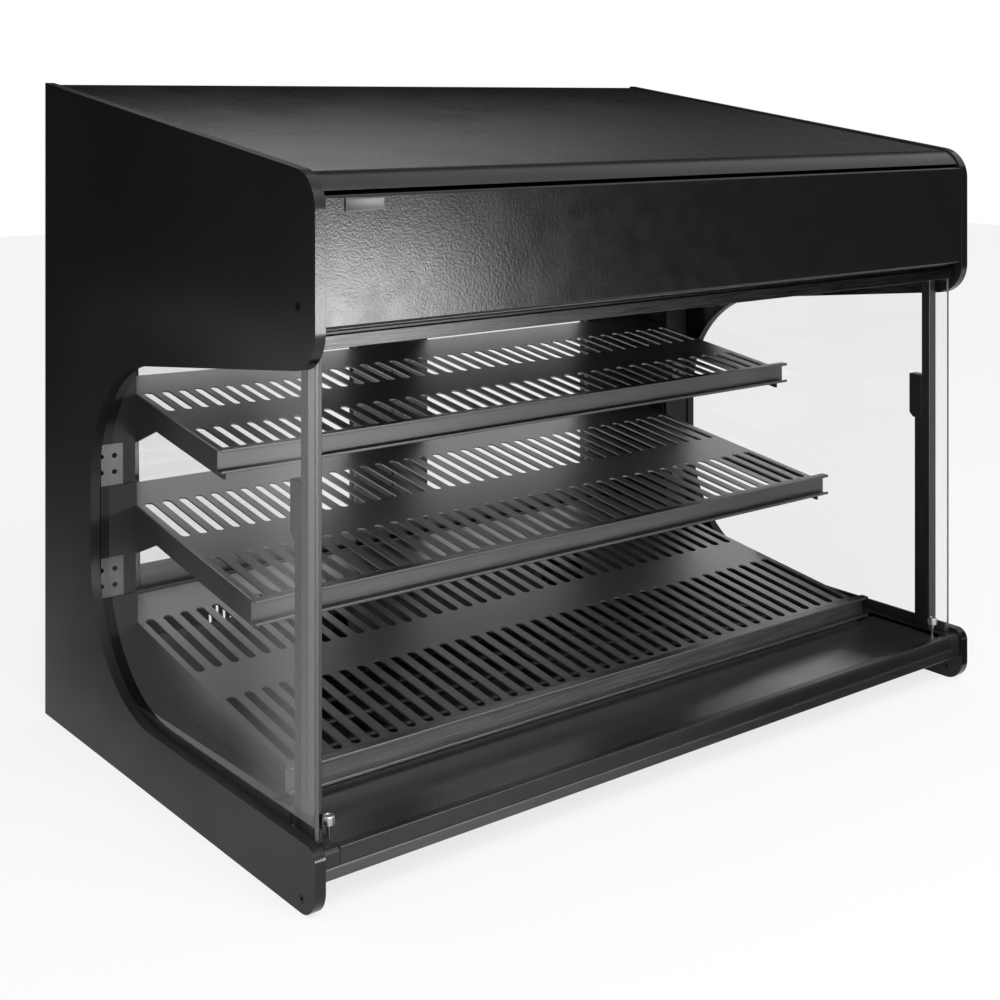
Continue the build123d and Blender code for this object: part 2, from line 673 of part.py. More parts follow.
def door_stiles(side):
    pane = pane_xs(side)
    hinge_side = block((pane[1], DOOR_OUTER_X), DOOR_Y, DOOR_Z)
    for low in (DOOR_Z[0], DOOR_Z[1] - PIVOT_DEPTH - 1):
        hinge_side -= rod_z(PIVOT_X, PIVOT_Y, PIVOT_R + RUNNING_GAP, (low, low + PIVOT_DEPTH + 1))
    meeting_side = block((DOOR_MEETING_X, pane[0]), DOOR_Y, DOOR_Z)
    return group([hinge_side, meeting_side])


def door_rails(side):
    low = block(pane_xs(side), DOOR_Y, (DOOR_Z[0], DOOR_Z[0] + DOOR_RAIL_H))
    high = block(pane_xs(side), DOOR_Y, (DOOR_Z[1] - DOOR_RAIL_H, DOOR_Z[1]))
    return group([low, high])


def door_glass(side):
    middle = (DOOR_Y[0] + DOOR_Y[1]) / 2
    ys = (middle - DOOR_GLASS_T / 2, middle + DOOR_GLASS_T / 2)
    return block(pane_xs(side), ys, (DOOR_Z[0] + DOOR_RAIL_H, DOOR_Z[1] - DOOR_RAIL_H))


def door_handle(side):
    """Folded pull: a flat base on the stile and a lip standing off it."""
    x0, x1 = HANDLE_X
    face = DOOR_Y[1]
    base = block((x0, x1), (face, face + SHEET), HANDLE_Z)
    wall = block((x1 - SHEET, x1), (face, REAR_Y - 1), HANDLE_Z)
    lip = block((x0 + 8, x1), (REAR_Y - 1 - SHEET, REAR_Y - 1), HANDLE_Z)
    return base + wall + lip


def door_pivots():
    """Plates with round pins that the doors turn on, above and below."""
    xs = (PIVOT_X - 25, BODY_HALF)
    ys = (PIVOT_Y - 12, PIVOT_Y + 6)
    lower = block(xs, ys, (SILL_Z, SILL_Z + PIVOT_PLATE_T))
    lower += rod_z(PIVOT_X, PIVOT_Y, PIVOT_R, (SILL_Z, DOOR_Z[0] + PIVOT_DEPTH))
    upper = block(xs, ys, (HEADER_Z - PIVOT_PLATE_T, HEADER_Z))
    upper += rod_z(PIVOT_X, PIVOT_Y, PIVOT_R, (DOOR_Z[1] - PIVOT_DEPTH, HEADER_Z))
    return group([lower, left_of(lower), upper, left_of(upper)])


nodes = {
    "roof_panel": roof_panel(),
    "fascia_panel": fascia_panel(),
    "badge_plate": badge_plate(),
    "hood_ceiling": hood_ceiling(),
    "lamp_channel": lamp_channel(),
    "lamp_diffuser": lamp_diffuser(),
    "lamp_strip": lamp_strip(),
    "rear_header": rear_header(),
    "glass_seals": pair(glass_seal()),
    "catch_blocks": pair(catch_block()),
    "retaining_pins": pair(retaining_pin()),
    "panel_screws": pair(panel_screws()),
    "post_covers": pair(post_cover()),
    "rear_columns": pair(rear_column()),
    "base_pan": base_pan(),
    "base_side_covers": pair(base_side_cover()),
    "base_front_rail": base_front_rail(),
    "base_front_plate": base_front_plate(),
    "rail_end_blocks": pair(rail_end_block()),
    "front_ledge": front_ledge(),
    "sill_rail": sill_rail(),
    "slotted_uprights": pair(slotted_upright()),
    "deck_brackets": pair(deck_bracket()),
    "shelf_top": shelf("top"),
    "shelf_middle": shelf("middle"),
    "deck": deck(),
    "brackets_top": pair(shelf_bracket("top")),
    "brackets_middle": pair(shelf_bracket("middle")),
    "heater_element": heater_element(),
    "heater_supports": heater_supports(),
    "fan_panel": fan_panel(),
    "fan_frames": group([fan_frame(-FAN_X), fan_frame(FAN_X)]),
    "fan_rotor_left": fan_rotor(-FAN_X),
    "fan_rotor_right": fan_rotor(FAN_X),
    "control_panel": control_panel(),
    "thermostat_body": thermostat_body(),
    "thermostat_knob": thermostat_knob(),
    "switch_housings": group([switch_housing(x) for x in SWITCH_XS.values()]),
    "power_rocker": rocker(SWITCH_XS["power"]),
    "lamp_rocker": rocker(SWITCH_XS["lamp"]),
    "cable_gland": cable_gland(),
    "door_pivots": door_pivots(),
}
for shelf_name in SHELVES:
    nodes["ticket_rail_" + shelf_name] = ticket_rail(shelf_name)

mirrored = {
    "side_panel": side_panel(),
    "side_glass": side_glass(),
    "front_post": front_post(),
}
for name, shape in mirrored.items():
    nodes[name + "_right"] = shape
    nodes[name + "_left"] = left_of(shape)

door_pieces = {"stiles": door_stiles, "rails": door_rails, "glass": door_glass, "handle": door_handle}
for name, make in door_pieces.items():
    nodes["door_right_" + name] = make("right")
    nodes["door_left_" + name] = left_of(make("left"))

os.makedirs("parts", exist_ok=True)
for name, shape in nodes.items():
    export_step(shape, "parts/" + name + ".step")
print(len(nodes), "nodes written")
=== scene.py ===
# %% [markdown]
# # Heated display case
#
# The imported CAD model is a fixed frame: every piece here is drawn around it, in metres, with
# the case standing on Z = 0 and its open front facing -Y. This script gives each surface its
# finish, remodels the pieces that need more shape than a solid holds, and lights the case.

# %% Load the frame
import json
import math

import bmesh
import bpy
from mathutils import Matrix, Vector

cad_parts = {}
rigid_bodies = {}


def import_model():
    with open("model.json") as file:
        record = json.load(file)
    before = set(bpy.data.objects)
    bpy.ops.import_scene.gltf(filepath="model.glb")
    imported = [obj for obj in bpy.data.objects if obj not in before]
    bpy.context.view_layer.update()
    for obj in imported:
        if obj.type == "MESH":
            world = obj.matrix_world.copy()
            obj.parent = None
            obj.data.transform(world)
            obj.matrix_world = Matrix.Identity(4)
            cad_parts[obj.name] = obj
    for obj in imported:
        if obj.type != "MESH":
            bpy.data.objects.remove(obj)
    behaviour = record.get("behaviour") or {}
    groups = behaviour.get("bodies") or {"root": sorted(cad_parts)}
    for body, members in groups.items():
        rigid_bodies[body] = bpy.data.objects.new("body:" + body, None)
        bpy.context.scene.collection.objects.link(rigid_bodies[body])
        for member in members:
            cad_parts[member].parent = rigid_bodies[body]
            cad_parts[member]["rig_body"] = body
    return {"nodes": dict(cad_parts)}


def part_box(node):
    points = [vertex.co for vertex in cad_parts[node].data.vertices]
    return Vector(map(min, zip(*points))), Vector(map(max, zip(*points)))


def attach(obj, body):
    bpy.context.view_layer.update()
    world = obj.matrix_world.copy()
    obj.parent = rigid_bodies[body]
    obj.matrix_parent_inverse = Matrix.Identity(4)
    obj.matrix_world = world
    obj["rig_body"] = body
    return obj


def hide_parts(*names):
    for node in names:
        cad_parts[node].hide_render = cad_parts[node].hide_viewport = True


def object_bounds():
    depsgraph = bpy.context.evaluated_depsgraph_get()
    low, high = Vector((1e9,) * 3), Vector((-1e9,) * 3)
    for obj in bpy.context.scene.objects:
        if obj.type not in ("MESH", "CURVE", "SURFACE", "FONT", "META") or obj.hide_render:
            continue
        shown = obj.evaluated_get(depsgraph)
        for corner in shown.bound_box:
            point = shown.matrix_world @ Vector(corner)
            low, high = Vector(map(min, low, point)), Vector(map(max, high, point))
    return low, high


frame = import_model()
CAD_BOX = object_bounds()
NODES = frame["nodes"]
MM = 0.001
QUARTER_TURN = math.radians(90)
print(len(NODES), "nodes, box", [[round(v, 4) for v in corner] for corner in CAD_BOX])

# %% [markdown]
# ## Camera
#
# The photograph was taken from the left of the open front, level with the roof. A camera
# could be tilted down to frame the case, but its upright edges are parallel in the picture,
# so the camera looks level and its sensor is shifted down instead, as on a view camera.

# %% Set up the camera
EYE = (-1.2710, -1.5812, 0.7657)
HEADING = math.radians(38.10)
LENS = 57.01
LENS_SHIFT = -0.4017
SENSOR_MM = 36

camera_data = bpy.data.cameras.new("camera")
camera_data.lens = LENS
camera_data.sensor_width = SENSOR_MM
camera_data.shift_y = LENS_SHIFT
camera = bpy.data.objects.new("camera", camera_data)
camera.location = EYE
camera.rotation_euler = (QUARTER_TURN, 0, -HEADING)
bpy.context.scene.collection.objects.link(camera)
bpy.context.scene.camera = camera
bpy.context.scene.view_settings.view_transform = "Standard"
print("camera at", EYE, "lens", LENS)

# %% [markdown]
# ## Colours and shader nodes
#
# A colour picked on a screen is an sRGB value, while a shader works in linear light, so one
# function turns hex values over. Another adds a shader node with its settings, constants
# and links in one call, and a few more build what most materials need: a place on the
# object, smooth noise, a colour between two, a bump and the shader itself. That keeps every
# material below short enough to read at once.

# %% Material helpers
def linear(hex_colour):
    """An sRGB hex colour as the linear RGBA that a shader takes."""
    channels = [int(hex_colour[i:i + 2], 16) / 255 for i in (0, 2, 4)]
    return [c / 12.92 if c <= 0.04045 else ((c + 0.055) / 1.055) ** 2.4 for c in channels] + [1.0]


def per_metre(millimetres):
    """Texture scale, in features per metre, for a feature of this size."""
    return 1000 / millimetres


def add(tree, kind, settings=None, values=None, links=None):
    """Adds a shader node: options by name, then constants and sources by socket."""
    node = tree.nodes.new(kind)
    for name, value in (settings or {}).items():
        setattr(node, name, value)
    for socket, value in (values or {}).items():
        node.inputs[socket].default_value = value
    for socket, source in (links or {}).items():
        tree.links.new(source, node.inputs[socket])
    return node


def new_material(name):
    """An empty material, its tree and an output node."""
    material = bpy.data.materials.new(name)
    material.use_nodes = True
    material.node_tree.nodes.clear()
    output = add(material.node_tree, "ShaderNodeOutputMaterial")
    return material, material.node_tree, output


def object_place(tree):
    """The place on the object, which stays with the piece when it moves."""
    return add(tree, "ShaderNodeTexCoord").outputs["Object"]


def blotches(tree, position, size_mm, detail, low=0.0, high=1.0):
    """Smooth noise of one size, spread between two values."""
    noise = add(tree, "ShaderNodeTexNoise", values={"Scale": per_metre(size_mm), "Detail": detail},
                links={"Vector": position})
    spread = add(tree, "ShaderNodeMapRange", values={"From Min": 0.3, "From Max": 0.7,
                                                     "To Min": low, "To Max": high},
                 links={"Value": noise.outputs["Fac"]})
    return spread.outputs["Result"]


def between(tree, dark, light, factor):
    """A colour that runs from a dark one to a light one with a factor from 0 to 1."""
    mix = add(tree, "ShaderNodeMix", {"data_type": "RGBA"},
              {"A": linear(dark), "B": linear(light)}, {"Factor": factor})
    return mix.outputs["Result"]


def ramp(tree, factor, low, high):
    """A value that runs from low to high with a factor from 0 to 1."""
    spread = add(tree, "ShaderNodeMapRange", values={"To Min": low, "To Max": high},
                 links={"Value": factor})
    return spread.outputs["Result"]


def bumped(tree, height, strength, height_mm):
    """The normal of a surface with a relief this high."""
    bump = add(tree, "ShaderNodeBump", values={"Strength": strength, "Distance": height_mm * MM},
               links={"Height": height})
    return bump.outputs["Normal"]


def surface(tree, output, values, links):
    """The main shader, with its constants and links, joined to the output."""
    shader = add(tree, "ShaderNodeBsdfPrincipled", values=values, links=links)
    tree.links.new(shader.outputs[0], output.inputs["Surface"])


# %% [markdown]
# ## Studio
#
# The case stands on a pale floor in front of a white sweep. A real sweep could be a curved
# sheet of paper, but every camera angle has to find white behind the case, so the world is
# white for what the lens, the gloss and the glass see, and a dimmer grey for what lights
# the surfaces. The floor does the same and keeps a trace of the case's shadow.

# %% Floor and world
FLOOR_SIZE = 14.0
FLOOR_SHADE = 0.22
ROOM_LIGHT = 0.80
WHITE = linear("ffffff")


def seen_directly(tree):
    """One where the lens, a reflection or glass looks at a surface, else zero."""
    path = add(tree, "ShaderNodeLightPath")
    total = path.outputs["Is Camera Ray"]
    for ray in ("Is Glossy Ray", "Is Transmission Ray"):
        total = add(tree, "ShaderNodeMath", {"operation": "MAXIMUM"},
                    links={0: total, 1: path.outputs[ray]}).outputs[0]
    return total


bpy.ops.object.select_all(action="DESELECT")
bpy.ops.mesh.primitive_plane_add(size=FLOOR_SIZE)
floor = bpy.context.object
floor.name = "floor"
floor_material, tree, output = new_material("pale_studio_floor")
matte = add(tree, "ShaderNodeBsdfDiffuse", values={"Color": linear("d8d8d8")})
glow = add(tree, "ShaderNodeEmission", values={"Color": WHITE, "Strength": 1.0})
weight = add(tree, "ShaderNodeMath", {"operation": "MULTIPLY"}, {1: 1 - FLOOR_SHADE},
             {0: seen_directly(tree)})
blend = add(tree, "ShaderNodeMixShader",
            links={0: weight.outputs[0], 1: matte.outputs[0], 2: glow.outputs[0]})
tree.links.new(blend.outputs[0], output.inputs["Surface"])
floor.data.materials.append(floor_material)

world = bpy.data.worlds.new("studio")
world.use_nodes = True
world.node_tree.nodes.clear()
tree = world.node_tree
backdrop = ramp(tree, seen_directly(tree), ROOM_LIGHT, 1.0)
sky = add(tree, "ShaderNodeBackground", values={"Color": WHITE}, links={"Strength": backdrop})
world_output = add(tree, "ShaderNodeOutputWorld", links={"Surface": sky.outputs[0]})
bpy.context.scene.world = world

# %% [markdown]
# A soft box low on the right of the lens is what the glossy front mirrors: the left end of
# the fascia and of each ticket rail faces it, and the right end faces past it. A second,
# larger one overhead gives the roof and the shelves their light from above.

# %% Soft boxes
SOFT_BOXES = {
    "soft_box_front": {"at": (0.84, -2.75, 0.17), "aim": (-0.3, -0.3, 0.25), "size": (0.95, 0.34),
                       "watts": 27},
    "soft_box_top": {"at": (-0.4, -2.0, 2.1), "aim": (0, 0, 0.3), "size": (2.2, 1.4), "watts": 70},
}
for name, box in SOFT_BOXES.items():
    lamp = bpy.data.lights.new(name, "AREA")
    lamp.shape = "RECTANGLE"
    lamp.size, lamp.size_y = box["size"]
    lamp.energy = box["watts"]
    soft_box = bpy.data.objects.new(name, lamp)
    soft_box.location = box["at"]
    aim = Vector(box["aim"]) - Vector(box["at"])
    soft_box.rotation_euler = aim.to_track_quat("-Z", "Y").to_euler()
    soft_box.visible_camera = False
    bpy.context.scene.collection.objects.link(soft_box)
    print(name, box["watts"], "W")

# %% [markdown]
# Glass and black paint show whatever stands beside them. A photographer sets black cards
# there, out of the picture, and so does this scene. Three on the left keep white out of the
# near pane and the near side panel. Two behind leave a gap for the front of the roof, and one
# in the gap fades from left to right. One on the right lets the fascia fade to black, a low
# one does the same for the front plate, and a small one inside keeps white off the far end of
# the ledge. Only reflections see the cards.

# %% Black cards
CARDS = {
    "black_card_near": {"from": (-0.59, -0.24), "to": (-0.59, 0.42), "heights": (0.0, 0.5)},
    "black_card_left": {"from": (-0.74, 0.40), "to": (-0.74, 3.20), "heights": (0.0, 1.3)},
    "black_card_upper": {"from": (-0.62, -0.26), "to": (-0.62, 0.42), "heights": (0.52, 1.3)},
    "black_card_back": {"from": (-0.70, 0.46), "to": (2.20, 0.46), "heights": (0.78, 0.965)},
    "black_card_above": {"from": (-0.90, 0.46), "to": (2.60, 0.46), "heights": (1.12, 2.2)},
    "black_card_gap": {"from": (-0.90, 0.47), "to": (2.60, 0.47), "heights": (0.965, 1.12)},
    "black_card_right": {"from": (1.55, -2.60), "to": (3.20, -0.30), "heights": (0.0, 1.6)},
    "black_card_low": {"from": (-0.60, -0.34), "to": (0.62, -0.34), "heights": (0.0, 0.05)},
    "black_card_foot": {"from": (0.466, -0.27), "to": (0.466, 0.02), "heights": (0.06, 0.13)},
}
card_material, tree, output = new_material("black_flocked_card")
flock = add(tree, "ShaderNodeBsdfDiffuse", values={"Color": linear("0c0c0c")})
tree.links.new(flock.outputs[0], output.inputs["Surface"])
for name, place in CARDS.items():
    start, end = (Vector((*place[key], 0)) for key in ("from", "to"))
    low, high = place["heights"]
    bpy.ops.object.select_all(action="DESELECT")
    bpy.ops.mesh.primitive_plane_add(size=1)
    card = bpy.context.object
    card.name = name
    corners = [(start, low), (end, low), (start, high), (end, high)]
    for vertex, (foot, z) in zip(card.data.vertices, corners):
        vertex.co = (foot.x, foot.y, z)
    card.data.materials.append(card_material)
    card.visible_camera = False
    card.visible_diffuse = False
    card.visible_transmission = False
    card.visible_shadow = False

# %% [markdown]
# The near pane isn't evenly dark: its mirror image grows lighter towards the front post and
# towards the floor. The roof and the front plate are light at the left end and dark at the
# right. A photographer gets that from grey scrims that fade to black, and three of the cards
# here have the same fade, as a glow worked out from the place along the card.

# %% Fades on three of the cards
SCRIM_FRONT = {"From Min": 0.06, "From Max": -0.14, "To Min": 0.10, "To Max": 1.10}
SCRIM_FOOT = {"From Min": 0.30, "From Max": 0.0, "To Min": 0.0, "To Max": 0.15}
SCRIM_PLATE = {"From Min": -0.40, "From Max": 0.22, "To Min": 0.95, "To Max": 0.0}
SCRIM_ROOF = {"From Min": -0.45, "From Max": 0.95, "To Min": 1.75, "To Max": 0.25}


def fading_scrim(name, **fades):
    """A grey scrim lit from behind, with a fade along each axis that is given. They add up."""
    scrim, tree, output = new_material(name)
    split = add(tree, "ShaderNodeSeparateXYZ", links={"Vector": object_place(tree)})
    strength = None
    for axis, stretch in fades.items():
        fade = add(tree, "ShaderNodeMapRange", {"interpolation_type": "SMOOTHSTEP"}, stretch,
                   {"Value": split.outputs[axis]}).outputs["Result"]
        strength = fade if strength is None else add(
            tree, "ShaderNodeMath", {"operation": "ADD"}, links={0: strength, 1: fade}).outputs[0]
    shine = add(tree, "ShaderNodeEmission", values={"Color": WHITE}, links={"Strength": strength})
    tree.links.new(shine.outputs[0], output.inputs["Surface"])
    return scrim


SCRIMS = {"black_card_near": fading_scrim("scrim_near", Y=SCRIM_FRONT, Z=SCRIM_FOOT),
          "black_card_low": fading_scrim("scrim_low", X=SCRIM_PLATE),
          "black_card_gap": fading_scrim("scrim_gap", X=SCRIM_ROOF)}
for name, scrim in SCRIMS.items():
    bpy.data.objects[name].data.materials[0] = scrim
print("fades on", list(SCRIMS))

# %% [markdown]
# ## Finishes
#
# Each finish below is named for the real material and how its surface was made. Noise on
# Object coordinates stands for what the eye expects of a surface: orange peel in paint,
# rolling lines in sheet, a mottled tone where hands and steam have been.

# %% Black textured powder coat
PAINT_IOR = 1.5
TONE_MM = 240
PEEL_MM = 1.6
PEEL_HEIGHT_MM = 0.05
HANDLED_MM = 90
HANDLED_SPREAD = 0.02


def black_powder_coat(name, dark, light, roughness, level):
    """Sheet steel with baked polyester powder. The eye reads a deep matt black whose fine
    orange peel, drawn at 1.6 mm, only shows where a light grazes it."""
    material, tree, output = new_material(name)
    place = object_place(tree)
    tone = blotches(tree, place, TONE_MM, detail=2)
    peel = blotches(tree, place, PEEL_MM, detail=2)
    rough = blotches(tree, place, HANDLED_MM, detail=2, low=roughness - HANDLED_SPREAD,
                     high=roughness + HANDLED_SPREAD)
    surface(tree, output, {"IOR": PAINT_IOR, "Specular IOR Level": level},
            {"Base Color": between(tree, dark, light, tone), "Roughness": rough,
             "Normal": bumped(tree, peel, strength=0.25, height_mm=PEEL_HEIGHT_MM)})
    return material


# %% Gloss paint of the fascia
GRAIN_MM = 2.2
GRAIN_HEIGHT_MM = 0.08
FLOW_MM = 35
FLOW_SPREAD = 0.03


def gloss_black_enamel(name, colour, roughness, level):
    """Stoved enamel, glossier than the casing. Its fine grain, drawn at 2.2 mm, breaks the
    soft box's reflection into speckles along the edge."""
    material, tree, output = new_material(name)
    place = object_place(tree)
    grain = blotches(tree, place, GRAIN_MM, detail=3)
    rough = blotches(tree, place, FLOW_MM, detail=3, low=roughness - FLOW_SPREAD,
                     high=roughness + FLOW_SPREAD)
    surface(tree, output,
            {"Base Color": linear(colour), "IOR": PAINT_IOR, "Specular IOR Level": level},
            {"Roughness": rough, "Normal": bumped(tree, grain, strength=0.5, height_mm=GRAIN_HEIGHT_MM)})
    return material


# %% Rolled and anodised metals
LINE_STRETCH = 60
LINE_DEPTH_MM = 0.02


def rolled_metal(name, dark, light, roughness, line_mm, run_axis="X"):
    """Metal with fine lines along one axis, from rolling, brushing or drawing. line_mm is
    the spacing of the lines across that axis, and they run 60 times as long."""
    material, tree, output = new_material(name)
    stretch = [1 / LINE_STRETCH if axis == run_axis else 1.0 for axis in "XYZ"]
    lines_place = add(tree, "ShaderNodeMapping", values={"Scale": stretch},
                      links={"Vector": object_place(tree)})
    lines = blotches(tree, lines_place.outputs[0], line_mm, detail=2)
    surface(tree, output, {"Metallic": 1.0},
            {"Base Color": between(tree, dark, light, lines),
             "Roughness": ramp(tree, lines, roughness - 0.05, roughness + 0.07),
             "Normal": bumped(tree, lines, strength=0.12, height_mm=LINE_DEPTH_MM)})
    return material


# %% Plain moulded and sheathed surfaces
MOULD_TONE_MM = 40
MOULD_GRAIN_HEIGHT_MM = 0.03


def moulded(name, dark, light, roughness, grain_mm, metallic=0.0, level=0.5):
    """A surface with a fine even grain: moulded plastic, rubber, an oxidised sheath."""
    material, tree, output = new_material(name)
    place = object_place(tree)
    grain = blotches(tree, place, grain_mm, detail=3)
    tone = blotches(tree, place, MOULD_TONE_MM, detail=2)
    surface(tree, output, {"Metallic": metallic, "Specular IOR Level": level},
            {"Base Color": between(tree, dark, light, tone),
             "Roughness": ramp(tree, grain, roughness - 0.04, roughness + 0.06),
             "Normal": bumped(tree, grain, strength=0.2, height_mm=MOULD_GRAIN_HEIGHT_MM)})
    return material


# %% Glass
GLASS_IOR = 1.5
GLASS_TINT = linear("fafafa")


def float_glass():
    """Toughened float glass. It lets the lamps through, as real glass does, by turning
    clear for shadow rays. A pane mirrors the studio twice, off its outer and its inner
    face. The inner one is left out, as a coating leaves it out on a shop window, because
    the photograph's panes have almost no veil."""
    material, tree, output = new_material("toughened_float_glass")
    glass = add(tree, "ShaderNodeBsdfPrincipled",
                values={"Base Color": GLASS_TINT, "Roughness": 0.0, "IOR": GLASS_IOR,
                        "Transmission Weight": 1.0})
    leaving = add(tree, "ShaderNodeBsdfRefraction",
                  values={"Color": GLASS_TINT, "Roughness": 0.0, "IOR": GLASS_IOR})
    side = add(tree, "ShaderNodeNewGeometry")
    pane = add(tree, "ShaderNodeMixShader",
               links={0: side.outputs["Backfacing"], 1: glass.outputs[0], 2: leaving.outputs[0]})
    clear = add(tree, "ShaderNodeBsdfTransparent", values={"Color": linear("f0f0f0")})
    path = add(tree, "ShaderNodeLightPath")
    lit = add(tree, "ShaderNodeMixShader",
              links={0: path.outputs["Is Shadow Ray"], 1: pane.outputs[0], 2: clear.outputs[0]})
    tree.links.new(lit.outputs[0], output.inputs["Surface"])
    return material


# %% Lamp diffuser
OPAL_TONE_MM = 60
ACRYLIC_IOR = 1.49


def opal_diffuser():
    """Opal acrylic over the lamp strip: pale and satin, not lit in the photograph."""
    material, tree, output = new_material("opal_acrylic")
    tone = blotches(tree, object_place(tree), OPAL_TONE_MM, detail=2)
    surface(tree, output, {"Roughness": 0.35, "IOR": ACRYLIC_IOR},
            {"Base Color": between(tree, "b9b9b6", "c6c6c3", tone)})
    return material


# %% Ground edge of the panes
GROUND_MM = 3


def ground_glass():
    """A pane's front edge after the grinding wheel: a satin grey, half clear, that shines
    where it faces the low soft box and goes dark below it."""
    material, tree, output = new_material("ground_glass_edge")
    tone = blotches(tree, object_place(tree), GROUND_MM, detail=3)
    surface(tree, output, {"Roughness": 0.34, "IOR": GLASS_IOR, "Transmission Weight": 0.92},
            {"Base Color": between(tree, "d4d8d6", "e2e6e4", tone)})
    return material


# %% [markdown]
# The record names a slot for each piece. Most slots are one finish, and a few pieces differ
# from the rest of their slot on the real case: the roof, the front plate and the doors are
# glossier than the casing, the tray is greyer than the fascia, the door pivots are duller
# than other plated parts, and the posts, the lamp channel and the deck's rail each have
# their own anodising.

# %% Put each finish on its CAD nodes
# After its name, a finish has its colours, its roughness, and then the level of a paint's
# reflection, or the spacing of a metal's lines or a moulding's grain in millimetres.
FINISHES = {
    "case_paint": black_powder_coat("black_powder_coat", "141415", "19191a", 0.46, 0.22),
    "gloss_paint": gloss_black_enamel("gloss_black_enamel", "101011", 0.19, 0.35),
    "shelf_steel": rolled_metal("satin_stainless_sheet", "888888", "949494", 0.42, 0.9, "X"),
    "aluminium": rolled_metal("grey_anodised_aluminium", "4e4e4e", "585858", 0.38, 0.8, "X"),
    "dark_steel": rolled_metal("grey_coated_steel", "5a5a5a", "666666", 0.45, 1.2, "Z"),
    "bright_metal": rolled_metal("nickel_plated_steel", "b8b8b6", "c8c8c6", 0.22, 0.8, "Z"),
    "blackened_steel": moulded("black_oxide_steel", "141414", "1e1e1e", 0.45, 0.8, metallic=1.0),
    "clear_glass": float_glass(),
    "seal_rubber": moulded("black_silicone_rubber", "121212", "191919", 0.6, 0.9),
    "black_plastic": moulded("black_moulded_nylon", "0f0f0f", "161616", 0.42, 0.8, level=0.35),
    "diffuser": opal_diffuser(),
    "heater_sheath": moulded("oxidised_heater_sheath", "3a3632", "55504a", 0.5, 1.4, metallic=1.0),
}
DOOR_PAINT = black_powder_coat("satin_black_door_paint", "1c1c1d", "222223", 0.26, 0.9)
ROOF_PAINT = black_powder_coat("satin_black_roof_paint", "0e0e0f", "131314", 0.28, 0.40)
TRAY_ENAMEL = gloss_black_enamel("black_tray_enamel", "232324", 0.20, 1.0)
PLATE_ENAMEL = gloss_black_enamel("front_plate_enamel", "141415", 0.30, 0.45)
POST_ANODISING = rolled_metal("dark_anodised_post", "424242", "4a4a4a", 0.40, 0.8, "Z")
LAMP_ANODISING = rolled_metal("lamp_channel_anodising", "343434", "3a3a3a", 0.27, 0.8, "X")
RAIL_ANODISING = rolled_metal("deck_rail_anodising", "6c6c6c", "767676", 0.36, 0.8, "X")
PIVOT_ZINC = rolled_metal("zinc_plated_pivot", "5a5a5a", "666666", 0.50, 0.8, "X")
GLASS_EDGE = ground_glass()
SPECIAL = {
    "door_left_stiles": DOOR_PAINT, "door_right_stiles": DOOR_PAINT, "front_ledge": TRAY_ENAMEL,
    "front_post_left": POST_ANODISING, "front_post_right": POST_ANODISING,
    "lamp_channel": LAMP_ANODISING, "ticket_rail_deck": RAIL_ANODISING,
    "base_front_plate": PLATE_ENAMEL, "roof_panel": ROOF_PAINT, "door_pivots": PIVOT_ZINC,
}

NODE_SLOT = {name: node.material_slots[0].material.name.split(".")[0] for name, node in NODES.items()}


def finish_of(node_name):
    """The material of a node: its own, or its slot's."""
    return SPECIAL.get(node_name) or FINISHES[NODE_SLOT[node_name]]


for name, node in NODES.items():
    for slot in node.material_slots:
        slot.material = finish_of(name)
print({slot: sum(1 for used in NODE_SLOT.values() if used == slot) for slot in FINISHES})

# %% [markdown]
# ## Edges that catch the light
#
# The CAD solids have knife edges, and no folded sheet, ground pane or painted panel does. The
# edges could be faked in the shader, but the meshes are kept too, so each piece is a copy of
# its CAD node: the copy's loose triangles are merged, its flat faces joined up, and a bevel
# of the size that the real process leaves is applied to it.

# %% Helpers for finished pieces
FOLD_ANGLE = math.radians(35)
SMOOTH_ANGLE = math.radians(30)
MERGE_DISTANCE = 0.002 * MM
FLAT_ANGLE = math.radians(0.5)


def select_only(piece):
    """Leaves one object selected and active."""
    bpy.ops.object.select_all(action="DESELECT")
    piece.select_set(True)
    bpy.context.view_layer.objects.active = piece


def apply_modifier(piece, kind, **settings):
    """Adds a modifier with its settings and applies it."""
    select_only(piece)
    modifier = piece.modifiers.new(kind.lower(), kind)
    for name, value in settings.items():
        setattr(modifier, name, value)
    bpy.ops.object.modifier_apply(modifier=modifier.name)


def bevel(piece, width_mm, segments=3, angle=FOLD_ANGLE):
    """Bevels every edge sharper than the angle."""
    apply_modifier(piece, "BEVEL", width=width_mm * MM, segments=segments, limit_method="ANGLE",
                   angle_limit=angle)


def round_edges(piece, width_mm):
    """Bevels a piece of the case. The normals then follow the larger faces, so that flat
    sheet stays flat to the eye and only the bevels turn."""
    bevel(piece, width_mm, segments=2)
    bpy.ops.object.shade_smooth()
    apply_modifier(piece, "WEIGHTED_NORMAL", mode="FACE_AREA_WITH_ANGLE", weight=50, keep_sharp=False)


def smooth_by_angle(piece, angle=SMOOTH_ANGLE):
    """Shades a piece smooth, apart from the edges sharper than the angle."""
    select_only(piece)
    bpy.ops.object.shade_smooth_by_angle(angle=angle)


def settle(piece, name, *nodes):
    """Names a finished piece, gives it its finish and lets it stand for its CAD nodes."""
    piece.name = name
    piece.data.name = name
    if not piece.data.materials:
        piece.data.materials.append(finish_of(nodes[0]))
    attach(piece, NODES[nodes[0]]["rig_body"])
    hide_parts(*nodes)
    print(name, len(piece.data.polygons), "faces")


